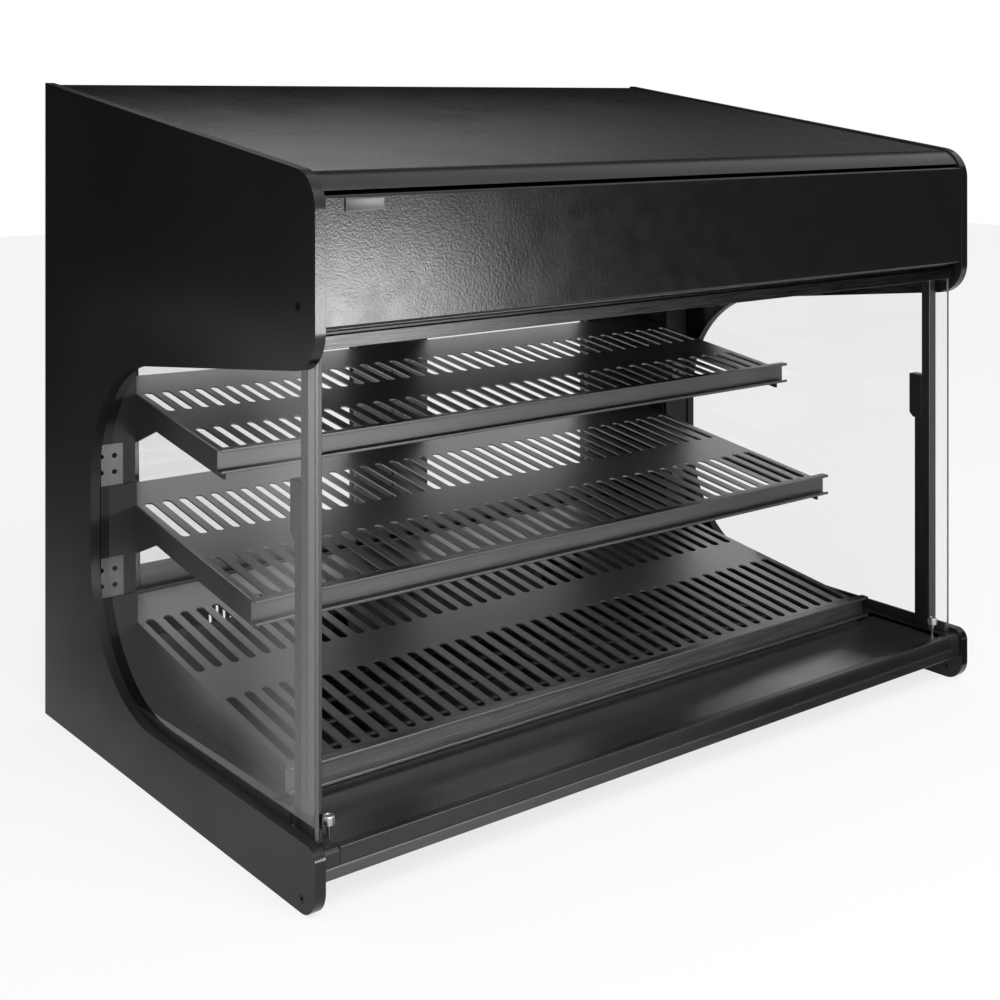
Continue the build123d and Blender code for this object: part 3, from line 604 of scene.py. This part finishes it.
def merged_copy(node_name):
    """A copy of a CAD node with its triangles merged and its flat faces joined up."""
    piece = bpy.data.objects.new(node_name + "_copy", NODES[node_name].data.copy())
    bpy.context.scene.collection.objects.link(piece)
    select_only(piece)
    bpy.ops.mesh.customdata_custom_splitnormals_clear()
    bpy.ops.object.mode_set(mode="EDIT")
    bpy.ops.mesh.select_all(action="SELECT")
    bpy.ops.mesh.remove_doubles(threshold=MERGE_DISTANCE)
    bpy.ops.mesh.dissolve_limited(angle_limit=FLAT_ANGLE)
    bpy.ops.object.mode_set(mode="OBJECT")
    return piece


# %% Bevel the casing, the shelves, the glass and the doors
EDGE_MM = {
    "side_panel_left": 3.0, "side_panel_right": 3.0, "roof_panel": 0.6, "fascia_panel": 0.6,
    "rear_header": 0.6, "base_front_plate": 0.6, "base_front_rail": 0.6, "front_ledge": 0.6,
    "rail_end_blocks": 1.0, "sill_rail": 0.8, "base_side_covers": 0.5, "control_panel": 0.5,
    "side_glass_left": 0.8, "side_glass_right": 0.8, "glass_seals": 0.8, "catch_blocks": 1.0,
    "front_post_left": 0.4, "front_post_right": 0.4, "post_covers": 0.6, "rear_columns": 0.7,
    "slotted_uprights": 0.4, "brackets_top": 0.5, "brackets_middle": 0.5, "deck_brackets": 0.5,
    "ticket_rail_top": 0.5, "ticket_rail_middle": 0.5, "ticket_rail_deck": 0.5,
    "shelf_top": 0.4, "shelf_middle": 0.4, "deck": 0.4, "lamp_channel": 0.5,
    "door_left_stiles": 1.0, "door_right_stiles": 1.0, "door_left_rails": 1.0,
    "door_right_rails": 1.0, "switch_housings": 0.6, "fan_frames": 0.8, "thermostat_body": 0.8,
}
for node_name, width in EDGE_MM.items():
    piece = merged_copy(node_name)
    round_edges(piece, width)
    settle(piece, node_name + "_finished", node_name)

# %% [markdown]
# Two kinds of piece have a second finish on the faces that look forwards. The panes have a
# ground front edge, and the side panels' front edges are stoved in the fascia's gloss enamel,
# which mirrors the same soft box. Faces are picked by the way they point.
#
# A pane also touches the panel outside it and the post inside it. Two faces in one plane
# would make the glass look black there, so the pane is a hair thinner than its slot.

# %% Front edges, and panes that clear their neighbours
FRONT_BAND = 75 * MM
STEEPNESS = 0.5
PANE_GAP = 0.25 * MM


def front_finish(piece, material):
    """Gives a material to the faces near the case's front that look forwards."""
    limit = CAD_BOX[0][1] + FRONT_BAND
    piece.data.materials.append(material)
    chosen = [face for face in piece.data.polygons
              if face.normal.y < -STEEPNESS and face.center.y < limit]
    for face in chosen:
        face.material_index = 1
    print(piece.name, len(chosen), "faces in", material.name)


def thin_pane(pane):
    """Scales a pane across its thickness, about its own middle."""
    low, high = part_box(pane.name.replace("_finished", ""))
    middle = (low + high) / 2
    thinner = 1 - 2 * PANE_GAP / (high.x - low.x)
    select_only(pane)
    bpy.ops.object.mode_set(mode="EDIT")
    bpy.ops.mesh.select_all(action="SELECT")
    bpy.ops.transform.resize(value=(thinner, 1, 1), center_override=tuple(middle))
    bpy.ops.object.mode_set(mode="OBJECT")


for side in ("left", "right"):
    pane = bpy.data.objects["side_glass_" + side + "_finished"]
    thin_pane(pane)
    front_finish(pane, GLASS_EDGE)
    front_finish(bpy.data.objects["side_panel_" + side + "_finished"], FINISHES["gloss_paint"])

# %% [markdown]
# ## Pieces modelled by hand
#
# The controls, the handles, the gland, the fans, the pins and the badge plate have shapes
# that their CAD solids only box in. Each starts as a primitive at its real place and is
# shaped by extruding, insetting and scaling. They could be cut with booleans, but steps of
# extrusion leave cleaner meshes.

# %% Helpers for shaping in edit mode
# A normal's share along an axis: above the first the face looks along it, below the second
# the face is a side.
SQUARE_ON = 0.9
EDGE_ON = 0.3
WELD_DISTANCE = 0.01 * MM
RIB_INSET = 0.12 * MM
TURNED_SIDES = 48


def start_shape(kind, **settings):
    """Adds a primitive with nothing else selected, and goes into edit mode on it."""
    bpy.ops.object.select_all(action="DESELECT")
    getattr(bpy.ops.mesh, "primitive_" + kind + "_add")(**settings)
    bpy.ops.object.mode_set(mode="EDIT")
    bpy.ops.mesh.select_mode(type="FACE")
    return bpy.context.object


def pick(piece, test):
    """Selects, in edit mode, just the faces for which the test says yes."""
    mesh = bmesh.from_edit_mesh(piece.data)
    mesh.normal_update()
    for face in mesh.faces:
        face.select_set(False)
    for face in mesh.faces:
        if test(face, piece.matrix_world @ face.calc_center_median()):
            face.select_set(True)
    bmesh.update_edit_mesh(piece.data)


def faces_back(face, place):
    """A test for the faces that look towards the back of the case, away from the panel."""
    return face.normal.y > SQUARE_ON


def finish_shape(piece):
    """Leaves edit mode, puts the place into the mesh and points the faces outwards."""
    bpy.ops.mesh.select_all(action="SELECT")
    bpy.ops.mesh.normals_make_consistent(inside=False)
    bpy.ops.object.mode_set(mode="OBJECT")
    bpy.ops.object.transform_apply(location=True, rotation=True, scale=True)
    return piece


def turned(centre, axis, steps, sides=TURNED_SIDES, bored=False):
    """A round piece: a filled circle, extruded and scaled from step to step. Each step is a
    radius and a place along the axis, in millimetres. A bored piece starts as an open
    circle, and its steps go right round the wall, back to where they began."""
    tilt = {"Y": (-QUARTER_TURN, 0, 0), "Z": (0, 0, 0)}[axis]
    along = {"Y": Vector((0, 1, 0)), "Z": Vector((0, 0, 1))}[axis]
    flat = Vector((1, 1, 1)) - along
    (radius, place), *others = steps
    middle = Vector(centre) * MM
    piece = start_shape("circle", vertices=sides, radius=radius * MM,
                        fill_type="NOTHING" if bored else "NGON",
                        location=middle + along * place * MM, rotation=tilt)
    bpy.ops.mesh.select_mode(type="EDGE" if bored else "FACE")
    bpy.ops.mesh.select_all(action="SELECT")
    for next_radius, next_place in others:
        bpy.ops.mesh.extrude_region_move(
            TRANSFORM_OT_translate={"value": along * (next_place - place) * MM})
        ratio = next_radius / radius
        bpy.ops.transform.resize(value=along + flat * ratio,
                                 center_override=middle + along * next_place * MM)
        radius, place = next_radius, next_place
    if bored:
        bpy.ops.mesh.select_all(action="SELECT")
        bpy.ops.mesh.remove_doubles(threshold=WELD_DISTANCE)
        bpy.ops.mesh.select_mode(type="FACE")
    return finish_shape(piece)


def alternate_faces(centre, axis, span, sides=TURNED_SIDES):
    """A test for every second face round a turned piece, between two places on its axis."""
    along = "XYZ".index(axis)
    first, second = (index for index in range(3) if index != along)
    step = 360 / sides

    def test(face, place):
        out = place - Vector(centre) * MM
        turn = math.degrees(math.atan2(out[first], out[second]))
        inside = span[0] < place[along] / MM < span[1] and abs(face.normal[along]) < EDGE_ON
        return inside and round((turn - step / 2) / step) % 2 == 0

    return test


def press_in(piece, test, depth_mm):
    """Presses the picked faces of a finished mesh in, each by itself, as flutes or ribs."""
    select_only(piece)
    bpy.ops.object.mode_set(mode="EDIT")
    bpy.ops.mesh.select_mode(type="FACE")
    pick(piece, test)
    bpy.ops.mesh.inset(thickness=RIB_INSET, depth=-depth_mm * MM, use_individual=True)
    return finish_shape(piece)


def joined(*pieces):
    """Joins finished meshes into the first one."""
    bpy.ops.object.select_all(action="DESELECT")
    for piece in pieces:
        piece.select_set(True)
    bpy.context.view_layer.objects.active = pieces[0]
    bpy.ops.object.join()
    return pieces[0]


def spin_copies(piece, count, centre, axis):
    """Copies a finished mesh round an axis, each copy with its own mesh, and joins them."""
    copies = [piece]
    for index in range(1, count):
        copy = bpy.data.objects.new(piece.name, piece.data.copy())
        bpy.context.scene.collection.objects.link(copy)
        middle = Vector(centre) * MM
        turn = Matrix.Rotation(index * math.tau / count, 4, axis)
        copy.data.transform(Matrix.Translation(middle) @ turn @ Matrix.Translation(-middle))
        copies.append(copy)
    return joined(*copies)


def block_shape(low, high):
    """A box between two corners in millimetres, left in edit mode to be shaped."""
    low, high = Vector(low) * MM, Vector(high) * MM
    return start_shape("cube", size=1, location=(low + high) / 2, scale=high - low)


# %% [markdown]
# The thermostat knob is moulded nylon: a skirt, a fluted boss and a flat grip bar across it.
# The flutes could be a bump, but they catch the light from the side, so every second face of
# the boss is pressed in. A painted line on the grip is the pointer.

# %% Thermostat knob
WHITE_PRINT = moulded("white_pad_print", "d8d8d6", "e2e2e0", 0.5, 0.5)
KNOB_LOW, KNOB_HIGH = (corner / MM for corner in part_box("thermostat_knob"))
KNOB_MIDDLE = (KNOB_LOW + KNOB_HIGH) / 2
KNOB_CENTRE = (KNOB_MIDDLE.x, 0, KNOB_MIDDLE.z)
KNOB_R = (KNOB_HIGH.x - KNOB_LOW.x) / 2
KNOB_FACE_Y = KNOB_HIGH.y
SKIRT_Y = KNOB_FACE_Y - 16
SKIRT_TOP_Y = SKIRT_Y + 5
BOSS_TOP_Y = SKIRT_Y + 13
BOSS_R = 12.0
SPINDLE_R = 3.0
KNOB_SIDES = 72
FLUTES_Y = (SKIRT_TOP_Y + 2, BOSS_TOP_Y - 1)
FLUTE_DEPTH = 0.8
GRIP_HALF = 3.5
GRIP_TAPER = (0.72, 1, 0.94)
POINTER_HALF = 0.7
SUNK = 0.3

knob = turned(KNOB_CENTRE, "Y", [
    (SPINDLE_R, KNOB_LOW.y), (SPINDLE_R, SKIRT_Y), (KNOB_R - 0.6, SKIRT_Y), (KNOB_R, SKIRT_Y + 0.6),
    (KNOB_R, SKIRT_TOP_Y - 1.4), (KNOB_R - 0.5, SKIRT_TOP_Y - 0.4), (KNOB_R - 1.6, SKIRT_TOP_Y),
    (BOSS_R + 0.6, SKIRT_TOP_Y + 0.2), (BOSS_R, SKIRT_TOP_Y + 1), (BOSS_R - 0.5, BOSS_TOP_Y - 0.6),
    (BOSS_R - 1.4, BOSS_TOP_Y), (BOSS_R - 3, BOSS_TOP_Y)], sides=KNOB_SIDES)
press_in(knob, alternate_faces(KNOB_CENTRE, "Y", FLUTES_Y, KNOB_SIDES), FLUTE_DEPTH)

grip_low = (KNOB_MIDDLE.x - GRIP_HALF, SKIRT_TOP_Y - 1, KNOB_MIDDLE.z - KNOB_R + 2)
grip_high = (KNOB_MIDDLE.x + GRIP_HALF, KNOB_FACE_Y, KNOB_MIDDLE.z + KNOB_R - 2)
grip = block_shape(grip_low, grip_high)
pick(grip, faces_back)
bpy.ops.transform.resize(value=GRIP_TAPER, center_override=KNOB_MIDDLE * MM)
finish_shape(grip)
bevel(grip, width_mm=1.0)

pointer_low = (KNOB_MIDDLE.x - POINTER_HALF, KNOB_FACE_Y - SUNK, KNOB_MIDDLE.z + 5)
pointer_high = (KNOB_MIDDLE.x + POINTER_HALF, KNOB_FACE_Y - 0.001, KNOB_MIDDLE.z + KNOB_R - 4)
pointer = block_shape(pointer_low, pointer_high)
pick(pointer, faces_back)
bpy.ops.mesh.inset(thickness=0.2 * MM, depth=0)
finish_shape(pointer)
pointer.data.materials.append(WHITE_PRINT)
knob_body = joined(knob, grip)
knob_body.data.materials.append(FINISHES["black_plastic"])
smooth_by_angle(knob_body)
knob_body = joined(knob_body, pointer)
settle(knob_body, "thermostat_knob_fluted", "thermostat_knob")

# %% [markdown]
# Round the knob the control panel carries a printed scale of ticks and plain numbers. Print
# is a thin film, so the marks are flat pieces a tenth of a millimetre proud. The text is made
# a mesh first and only then turned to face the back.

# %% Printed scale
PANEL_FACE_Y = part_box("control_panel")[1].y / MM
PRINT_T = 0.1
TICK_HALF = 0.4
TICK_TAPER = (0.8, 1, 1)
TICK_R = (KNOB_R + 2.5, KNOB_R + 5.5)
NUMBER_R = KNOB_R + 9.5
NUMBER_SIZE = 5.0
SCALE_STEPS = 7
SCALE_STEP_DEG = 45


def scale_place(step, radius):
    """A place on the scale, which runs clockwise for someone behind the case."""
    turn = math.radians(step * SCALE_STEP_DEG)
    return (KNOB_MIDDLE.x - radius * math.sin(turn), KNOB_MIDDLE.z + radius * math.cos(turn))


def printed_tick(step):
    """One tick, drawn upright over the knob and turned to its place on the scale."""
    low = Vector((KNOB_MIDDLE.x - TICK_HALF, PANEL_FACE_Y, KNOB_MIDDLE.z + TICK_R[0]))
    high = Vector((KNOB_MIDDLE.x + TICK_HALF, PANEL_FACE_Y + PRINT_T, KNOB_MIDDLE.z + TICK_R[1]))
    tick = block_shape(low, high)
    pick(tick, faces_back)
    bpy.ops.transform.resize(value=TICK_TAPER, center_override=(low + high) / 2 * MM)
    finish_shape(tick)
    middle = Matrix.Translation(Vector((KNOB_MIDDLE.x, PANEL_FACE_Y, KNOB_MIDDLE.z)) * MM)
    turn = Matrix.Rotation(math.radians(-step * SCALE_STEP_DEG), 4, "Y")
    tick.data.transform(middle @ turn @ middle.inverted())
    return tick


def printed_text(words, size_mm, x, z):
    """A text as a thin mesh on the control panel, upright for someone behind the case."""
    bpy.ops.object.select_all(action="DESELECT")
    bpy.ops.object.text_add()
    label = bpy.context.object
    label.data.body = words
    label.data.size = size_mm * MM
    label.data.extrude = PRINT_T / 2 * MM
    label.data.align_x = "CENTER"
    label.data.align_y = "CENTER"
    bpy.ops.object.convert(target="MESH")
    label = bpy.context.object
    label.rotation_euler = (QUARTER_TURN, 0, 2 * QUARTER_TURN)
    label.location = Vector((x, PANEL_FACE_Y + PRINT_T / 2, z)) * MM
    bpy.ops.object.transform_apply(location=True, rotation=True, scale=True)
    return label


marks = [printed_tick(step) for step in range(SCALE_STEPS)]
for step in range(SCALE_STEPS):
    marks.append(printed_text(str(step), NUMBER_SIZE, *scale_place(step, NUMBER_R)))
scale_marks = joined(*marks)
scale_marks.name = "thermostat_scale"
scale_marks.data.name = "thermostat_scale"
scale_marks.data.materials.clear()
scale_marks.data.materials.append(WHITE_PRINT)
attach(scale_marks, NODES["control_panel"]["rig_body"])
print("printed scale", len(scale_marks.data.polygons), "faces")

# %% [markdown]
# A rocker key is hollowed across the middle, so that a finger finds either end. It starts as
# a box whose faces are cut into rows, and the outer rows are pushed in along a shallow curve.
# The key rests with its top pressed, and the whole mesh is tilted about its pin.

# %% Rocker keys
ROCKER_SIZE = (12.0, 9.0, 24.0)
ROCKER_Y = 301.5
ROCKER_TILT = math.radians(9)
ROCKER_HOLLOW = 1.3
ROCKER_ROWS = 9
MARK_Z = 6.5
MARK_HALF = 2.2
BAR_HALF = 0.5
BAR_PROUD = 0.25
RING_R = 2.1
RING_WIRE_R = 0.45


def hollow(z):
    """How far the key's face lies back, at a height from its middle, both in millimetres."""
    return ROCKER_HOLLOW * math.cos(z / ROCKER_SIZE[2] * math.pi)


def rocker_key(node_name):
    """A hollowed key with a bar for on and a ring for off, tilted about its pin."""
    low, high = (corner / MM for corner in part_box(node_name))
    middle = (low + high) / 2
    middle.y = ROCKER_Y
    half = Vector(ROCKER_SIZE) / 2
    key = block_shape(middle - half, middle + half)
    bpy.ops.mesh.subdivide(number_cuts=ROCKER_ROWS)
    mesh = bmesh.from_edit_mesh(key.data)
    for vertex in mesh.verts:
        place = (key.matrix_world @ vertex.co) / MM
        if place.y > ROCKER_Y:
            share = (place.y - ROCKER_Y) / half.y
            place.y -= share * hollow(place.z - middle.z)
            vertex.co = key.matrix_world.inverted() @ (place * MM)
    bmesh.update_edit_mesh(key.data)
    finish_shape(key)
    key.data.materials.append(FINISHES["black_plastic"])
    bevel(key, width_mm=0.8, angle=math.radians(50))
    smooth_by_angle(key)
    face_y = ROCKER_Y + half.y - hollow(MARK_Z)
    bar = block_shape((middle.x - BAR_HALF, face_y - SUNK, middle.z + MARK_Z - MARK_HALF),
                      (middle.x + BAR_HALF, face_y + BAR_PROUD, middle.z + MARK_Z + MARK_HALF))
    pick(bar, faces_back)
    bpy.ops.mesh.inset(thickness=0.15 * MM, depth=0)
    finish_shape(bar)
    bpy.ops.object.select_all(action="DESELECT")
    bpy.ops.mesh.primitive_torus_add(
        major_radius=RING_R * MM, minor_radius=RING_WIRE_R * MM, major_segments=28, minor_segments=8,
        location=Vector((middle.x, face_y, middle.z - MARK_Z)) * MM, rotation=(QUARTER_TURN, 0, 0))
    ring = bpy.context.object
    bpy.ops.object.transform_apply(location=True, rotation=True, scale=True)
    for mark in (bar, ring):
        mark.data.materials.append(WHITE_PRINT)
    key = joined(key, bar, ring)
    pin = Matrix.Translation(middle * MM)
    key.data.transform(pin @ Matrix.Rotation(ROCKER_TILT, 4, "X") @ pin.inverted())
    settle(key, node_name + "_hollowed", node_name)


for node_name in ("power_rocker", "lamp_rocker"):
    rocker_key(node_name)

# %% [markdown]
# The door pulls are one strip of sheet each, folded twice. The outer edge of the flat base is
# drawn out from the stile and then back over it, as the folding press would bend it, and the
# strip then gets the sheet's thickness and a round at each fold.

# %% Folded door pulls
PULL_T = 2.0
PULL_LIP = 8.0
SAME_PLACE = 0.1


def folded_pull(side):
    """A strip along the base, the wall and the lip, given its thickness and its folds."""
    node_name = "door_" + side + "_handle"
    low, high = (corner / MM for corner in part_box(node_name))
    outward = 1 if side == "right" else -1
    inner_x, outer_x = (low.x, high.x) if side == "right" else (high.x, low.x)
    half = PULL_T / 2
    middle_z = (low.z + high.z) / 2
    base_y, lip_y, wall_x = low.y + half, high.y - half, outer_x - outward * half
    strip = start_shape("plane", size=1, location=Vector((inner_x, base_y, middle_z)) * MM)
    mesh = bmesh.from_edit_mesh(strip.data)
    to_local = strip.matrix_world.inverted()
    for vertex in mesh.verts:
        x = inner_x if vertex.co.x < 0 else wall_x
        z = low.z if vertex.co.y < 0 else high.z
        vertex.co = to_local @ (Vector((x, base_y, z)) * MM)
    bpy.ops.mesh.select_mode(type="EDGE")
    for shift in ((0, lip_y - base_y, 0), (inner_x + outward * PULL_LIP - wall_x, 0, 0)):
        for edge in mesh.edges:
            ends = [strip.matrix_world @ vertex.co / MM for vertex in edge.verts]
            edge.select_set(all(abs(end.x - wall_x) < SAME_PLACE for end in ends)
                            and abs(ends[0].y - ends[1].y) < SAME_PLACE and len(edge.link_faces) == 1)
        bmesh.update_edit_mesh(strip.data)
        bpy.ops.mesh.extrude_region_move(TRANSFORM_OT_translate={"value": Vector(shift) * MM})
        mesh = bmesh.from_edit_mesh(strip.data)
    finish_shape(strip)
    apply_modifier(strip, "SOLIDIFY", thickness=PULL_T * MM, offset=0, use_even_offset=True)
    bevel(strip, width_mm=0.7)
    smooth_by_angle(strip)
    settle(strip, node_name + "_folded", node_name)


for side in ("left", "right"):
    folded_pull(side)

# %% [markdown]
# The mains cord leaves through a gland: a threaded body with a hexagon outside the panel, a
# locknut inside it, and a ribbed cap that squeezes a rubber bush. One bored turning gives the
# whole wall. Its widest rings are then pulled onto a hexagon, while the rings beside them
# stay round, which is how a turned nut gets its chamfer.

# %% Cable gland
GLAND_LOW, GLAND_HIGH = (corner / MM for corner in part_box("cable_gland"))
GLAND_MIDDLE = (GLAND_LOW + GLAND_HIGH) / 2
GLAND_CENTRE = (GLAND_MIDDLE.x, 0, GLAND_MIDDLE.z)
GLAND_TIP_Y = GLAND_HIGH.y
NUT_R = 13.0
NUT_ROUND_R = 11.2
THREAD_R = 9.0
CAP_R = 10.0
CORD_BORE_R = 5.0
RIB_DEPTH = 0.5
NUT_Y = (PANEL_FACE_Y, PANEL_FACE_Y + 7)
LOCKNUT_Y = (PANEL_FACE_Y - 7, PANEL_FACE_Y - 2)
HEXAGON_STEP = math.radians(60)

gland = turned(GLAND_CENTRE, "Y", [
    (CORD_BORE_R, GLAND_LOW.y), (THREAD_R - 0.6, GLAND_LOW.y), (THREAD_R, GLAND_LOW.y + 0.6),
    (THREAD_R, LOCKNUT_Y[0]), (NUT_ROUND_R, LOCKNUT_Y[0]), (NUT_R, LOCKNUT_Y[0] + 0.9),
    (NUT_R, LOCKNUT_Y[1] - 0.9), (NUT_ROUND_R, LOCKNUT_Y[1]), (THREAD_R, LOCKNUT_Y[1]),
    (THREAD_R, NUT_Y[0]), (NUT_R, NUT_Y[0]), (NUT_R, NUT_Y[1] - 1.0), (NUT_ROUND_R, NUT_Y[1]),
    (CAP_R - 0.4, NUT_Y[1] + 0.2), (CAP_R, NUT_Y[1] + 0.8), (CAP_R, GLAND_TIP_Y - 1.4),
    (CAP_R - 1.4, GLAND_TIP_Y), (CORD_BORE_R + 1.8, GLAND_TIP_Y),
    (CORD_BORE_R + 1.4, GLAND_TIP_Y - 0.9), (CORD_BORE_R + 0.4, GLAND_TIP_Y - 0.9),
    (CORD_BORE_R, GLAND_TIP_Y - 1.3), (CORD_BORE_R, GLAND_LOW.y)], bored=True)
for vertex in gland.data.vertices:
    out = Vector((vertex.co.x, 0, vertex.co.z)) - Vector(GLAND_CENTRE) * MM
    if out.length > (NUT_R - 0.1) * MM:
        turn = math.atan2(out.x, out.z) % HEXAGON_STEP - HEXAGON_STEP / 2
        pull = math.cos(HEXAGON_STEP / 2) / math.cos(turn)
        vertex.co += out * (pull - 1)
press_in(gland, alternate_faces(GLAND_CENTRE, "Y", (NUT_Y[1] + 1, GLAND_TIP_Y - 1.5)), RIB_DEPTH)
gland.data.materials.append(FINISHES["black_plastic"])
smooth_by_angle(gland)
settle(gland, "cable_gland_ribbed", "cable_gland")

# %% [markdown]
# Each fan's rotor is one moulding: a hub cup with seven swept blades. A blade could be a flat
# plate set at a pitch, as in the CAD solid, but a real one is steeper at the hub than at the
# tip, and hollow towards the flow. One grid is bent that way, given its thickness and copied
# round the hub.

# %% Fan rotors
BLADES = 7
HUB_R = 15.0
ROOT_R = HUB_R - 1
TIP_R = 36.4
BLADE_T = 1.4
CHORD = (14.0, 18.0)
PITCH = (math.radians(46), math.radians(27))
CAMBER = 1.5
HUB_DEPTH = 18.0
HUB_WALL = 1.6
SHAFT_R = 2.5
SHAFT_BOSS_R = 5.0


def fan_blade(centre_x, centre_z, middle_y):
    """One blade: across the grid is its span, up the grid its chord."""
    blade = start_shape("grid", x_subdivisions=10, y_subdivisions=8, size=1)
    mesh = bmesh.from_edit_mesh(blade.data)
    for vertex in mesh.verts:
        span, across = vertex.co.x + 0.5, vertex.co.y
        radius = ROOT_R + (TIP_R - ROOT_R) * span
        chord = CHORD[0] + (CHORD[1] - CHORD[0]) * span
        pitch = PITCH[0] + (PITCH[1] - PITCH[0]) * span
        bow = CAMBER * (1 - 4 * across * across)
        round_hub = chord * across * math.cos(pitch) - bow * math.sin(pitch)
        along_shaft = chord * across * math.sin(pitch) + bow * math.cos(pitch)
        turn = round_hub / radius
        vertex.co = Vector((centre_x + radius * math.cos(turn), middle_y + along_shaft,
                            centre_z + radius * math.sin(turn))) * MM
    finish_shape(blade)
    apply_modifier(blade, "SOLIDIFY", thickness=BLADE_T * MM, offset=0)
    return blade


def fan_rotor(node_name):
    """A hub cup with its shaft, and the blades round it."""
    low, high = (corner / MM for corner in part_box(node_name))
    middle = (low + high) / 2
    centre = (middle.x, 0, middle.z)
    back_y = low.y + HUB_DEPTH
    inner_r = HUB_R - HUB_WALL
    hub = turned(centre, "Y", [
        (HUB_R - 4, low.y), (HUB_R - 1.5, low.y + 0.4), (HUB_R, low.y + 1.8), (HUB_R, back_y),
        (inner_r, back_y), (inner_r, back_y - 3), (SHAFT_BOSS_R, back_y - 3),
        (SHAFT_BOSS_R, back_y - 1), (SHAFT_R, back_y - 1), (SHAFT_R, high.y)])
    blade = fan_blade(middle.x, middle.z, low.y + HUB_DEPTH / 2)
    rotor = joined(hub, spin_copies(blade, BLADES, centre, "Y"))
    rotor.data.materials.clear()
    rotor.data.materials.append(finish_of(node_name))
    smooth_by_angle(rotor, FOLD_ANGLE)
    settle(rotor, node_name + "_swept", node_name)


for side in ("left", "right"):
    fan_rotor("fan_rotor_" + side)

# %% [markdown]
# The two bright pins at the feet of the posts have knurled heads, for turning by hand. They
# are turned like the knob, from the stem up, and every second face of the head is pressed in.

# %% Retaining pins
PIN_LOW, PIN_HIGH = (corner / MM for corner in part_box("retaining_pins"))
PIN_Y = (PIN_LOW.y + PIN_HIGH.y) / 2
PIN_HEAD_R = (PIN_HIGH.y - PIN_LOW.y) / 2
PIN_STEM_R = 2.0
PIN_HEAD_H = 9.0
PIN_CHAMFER = 0.8
KNURL_DEPTH = 0.3


def knurled_pin(x):
    """One pin: a stem, and a head with a chamfer at both ends and a dimple on top."""
    head_z, top_z = PIN_HIGH.z - PIN_HEAD_H, PIN_HIGH.z
    rim_r = PIN_HEAD_R - PIN_CHAMFER
    pin = turned((x, PIN_Y, 0), "Z", [
        (PIN_STEM_R, PIN_LOW.z), (PIN_STEM_R, head_z), (rim_r, head_z),
        (PIN_HEAD_R, head_z + PIN_CHAMFER), (PIN_HEAD_R, top_z - PIN_CHAMFER), (rim_r, top_z),
        (PIN_HEAD_R - 2.4, top_z), (PIN_HEAD_R - 2.9, top_z - 0.5)])
    return press_in(pin, alternate_faces((x, PIN_Y, 0), "Z", (head_z + 1, top_z - 1)), KNURL_DEPTH)


pins = joined(*[knurled_pin(x) for x in (PIN_LOW.x + PIN_HEAD_R, PIN_HIGH.x - PIN_HEAD_R)])
smooth_by_angle(pins)
settle(pins, "retaining_pins_knurled", "retaining_pins")

# %% [markdown]
# The fascia's left end carries a small bare plate. It could stay a plain block, but a pressed
# plate has a raised rim that catches the light, made here by two insets of its face.

# %% Badge plate
PLATE_FACE_AREA = 3e-4
RIM_INSETS = ((0.9, 0.0), (0.3, -0.4))


def plate_face(face, place):
    """A test for the plate's large front face, and not the rim round it."""
    return face.normal.y < -SQUARE_ON and face.calc_area() > PLATE_FACE_AREA


plate = block_shape(*(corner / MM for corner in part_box("badge_plate")))
for width, depth in RIM_INSETS:
    pick(plate, plate_face)
    bpy.ops.mesh.inset(thickness=width * MM, depth=depth * MM)
finish_shape(plate)
bevel(plate, width_mm=0.25, segments=2)
smooth_by_angle(plate)
settle(plate, "badge_plate_rimmed", "badge_plate")
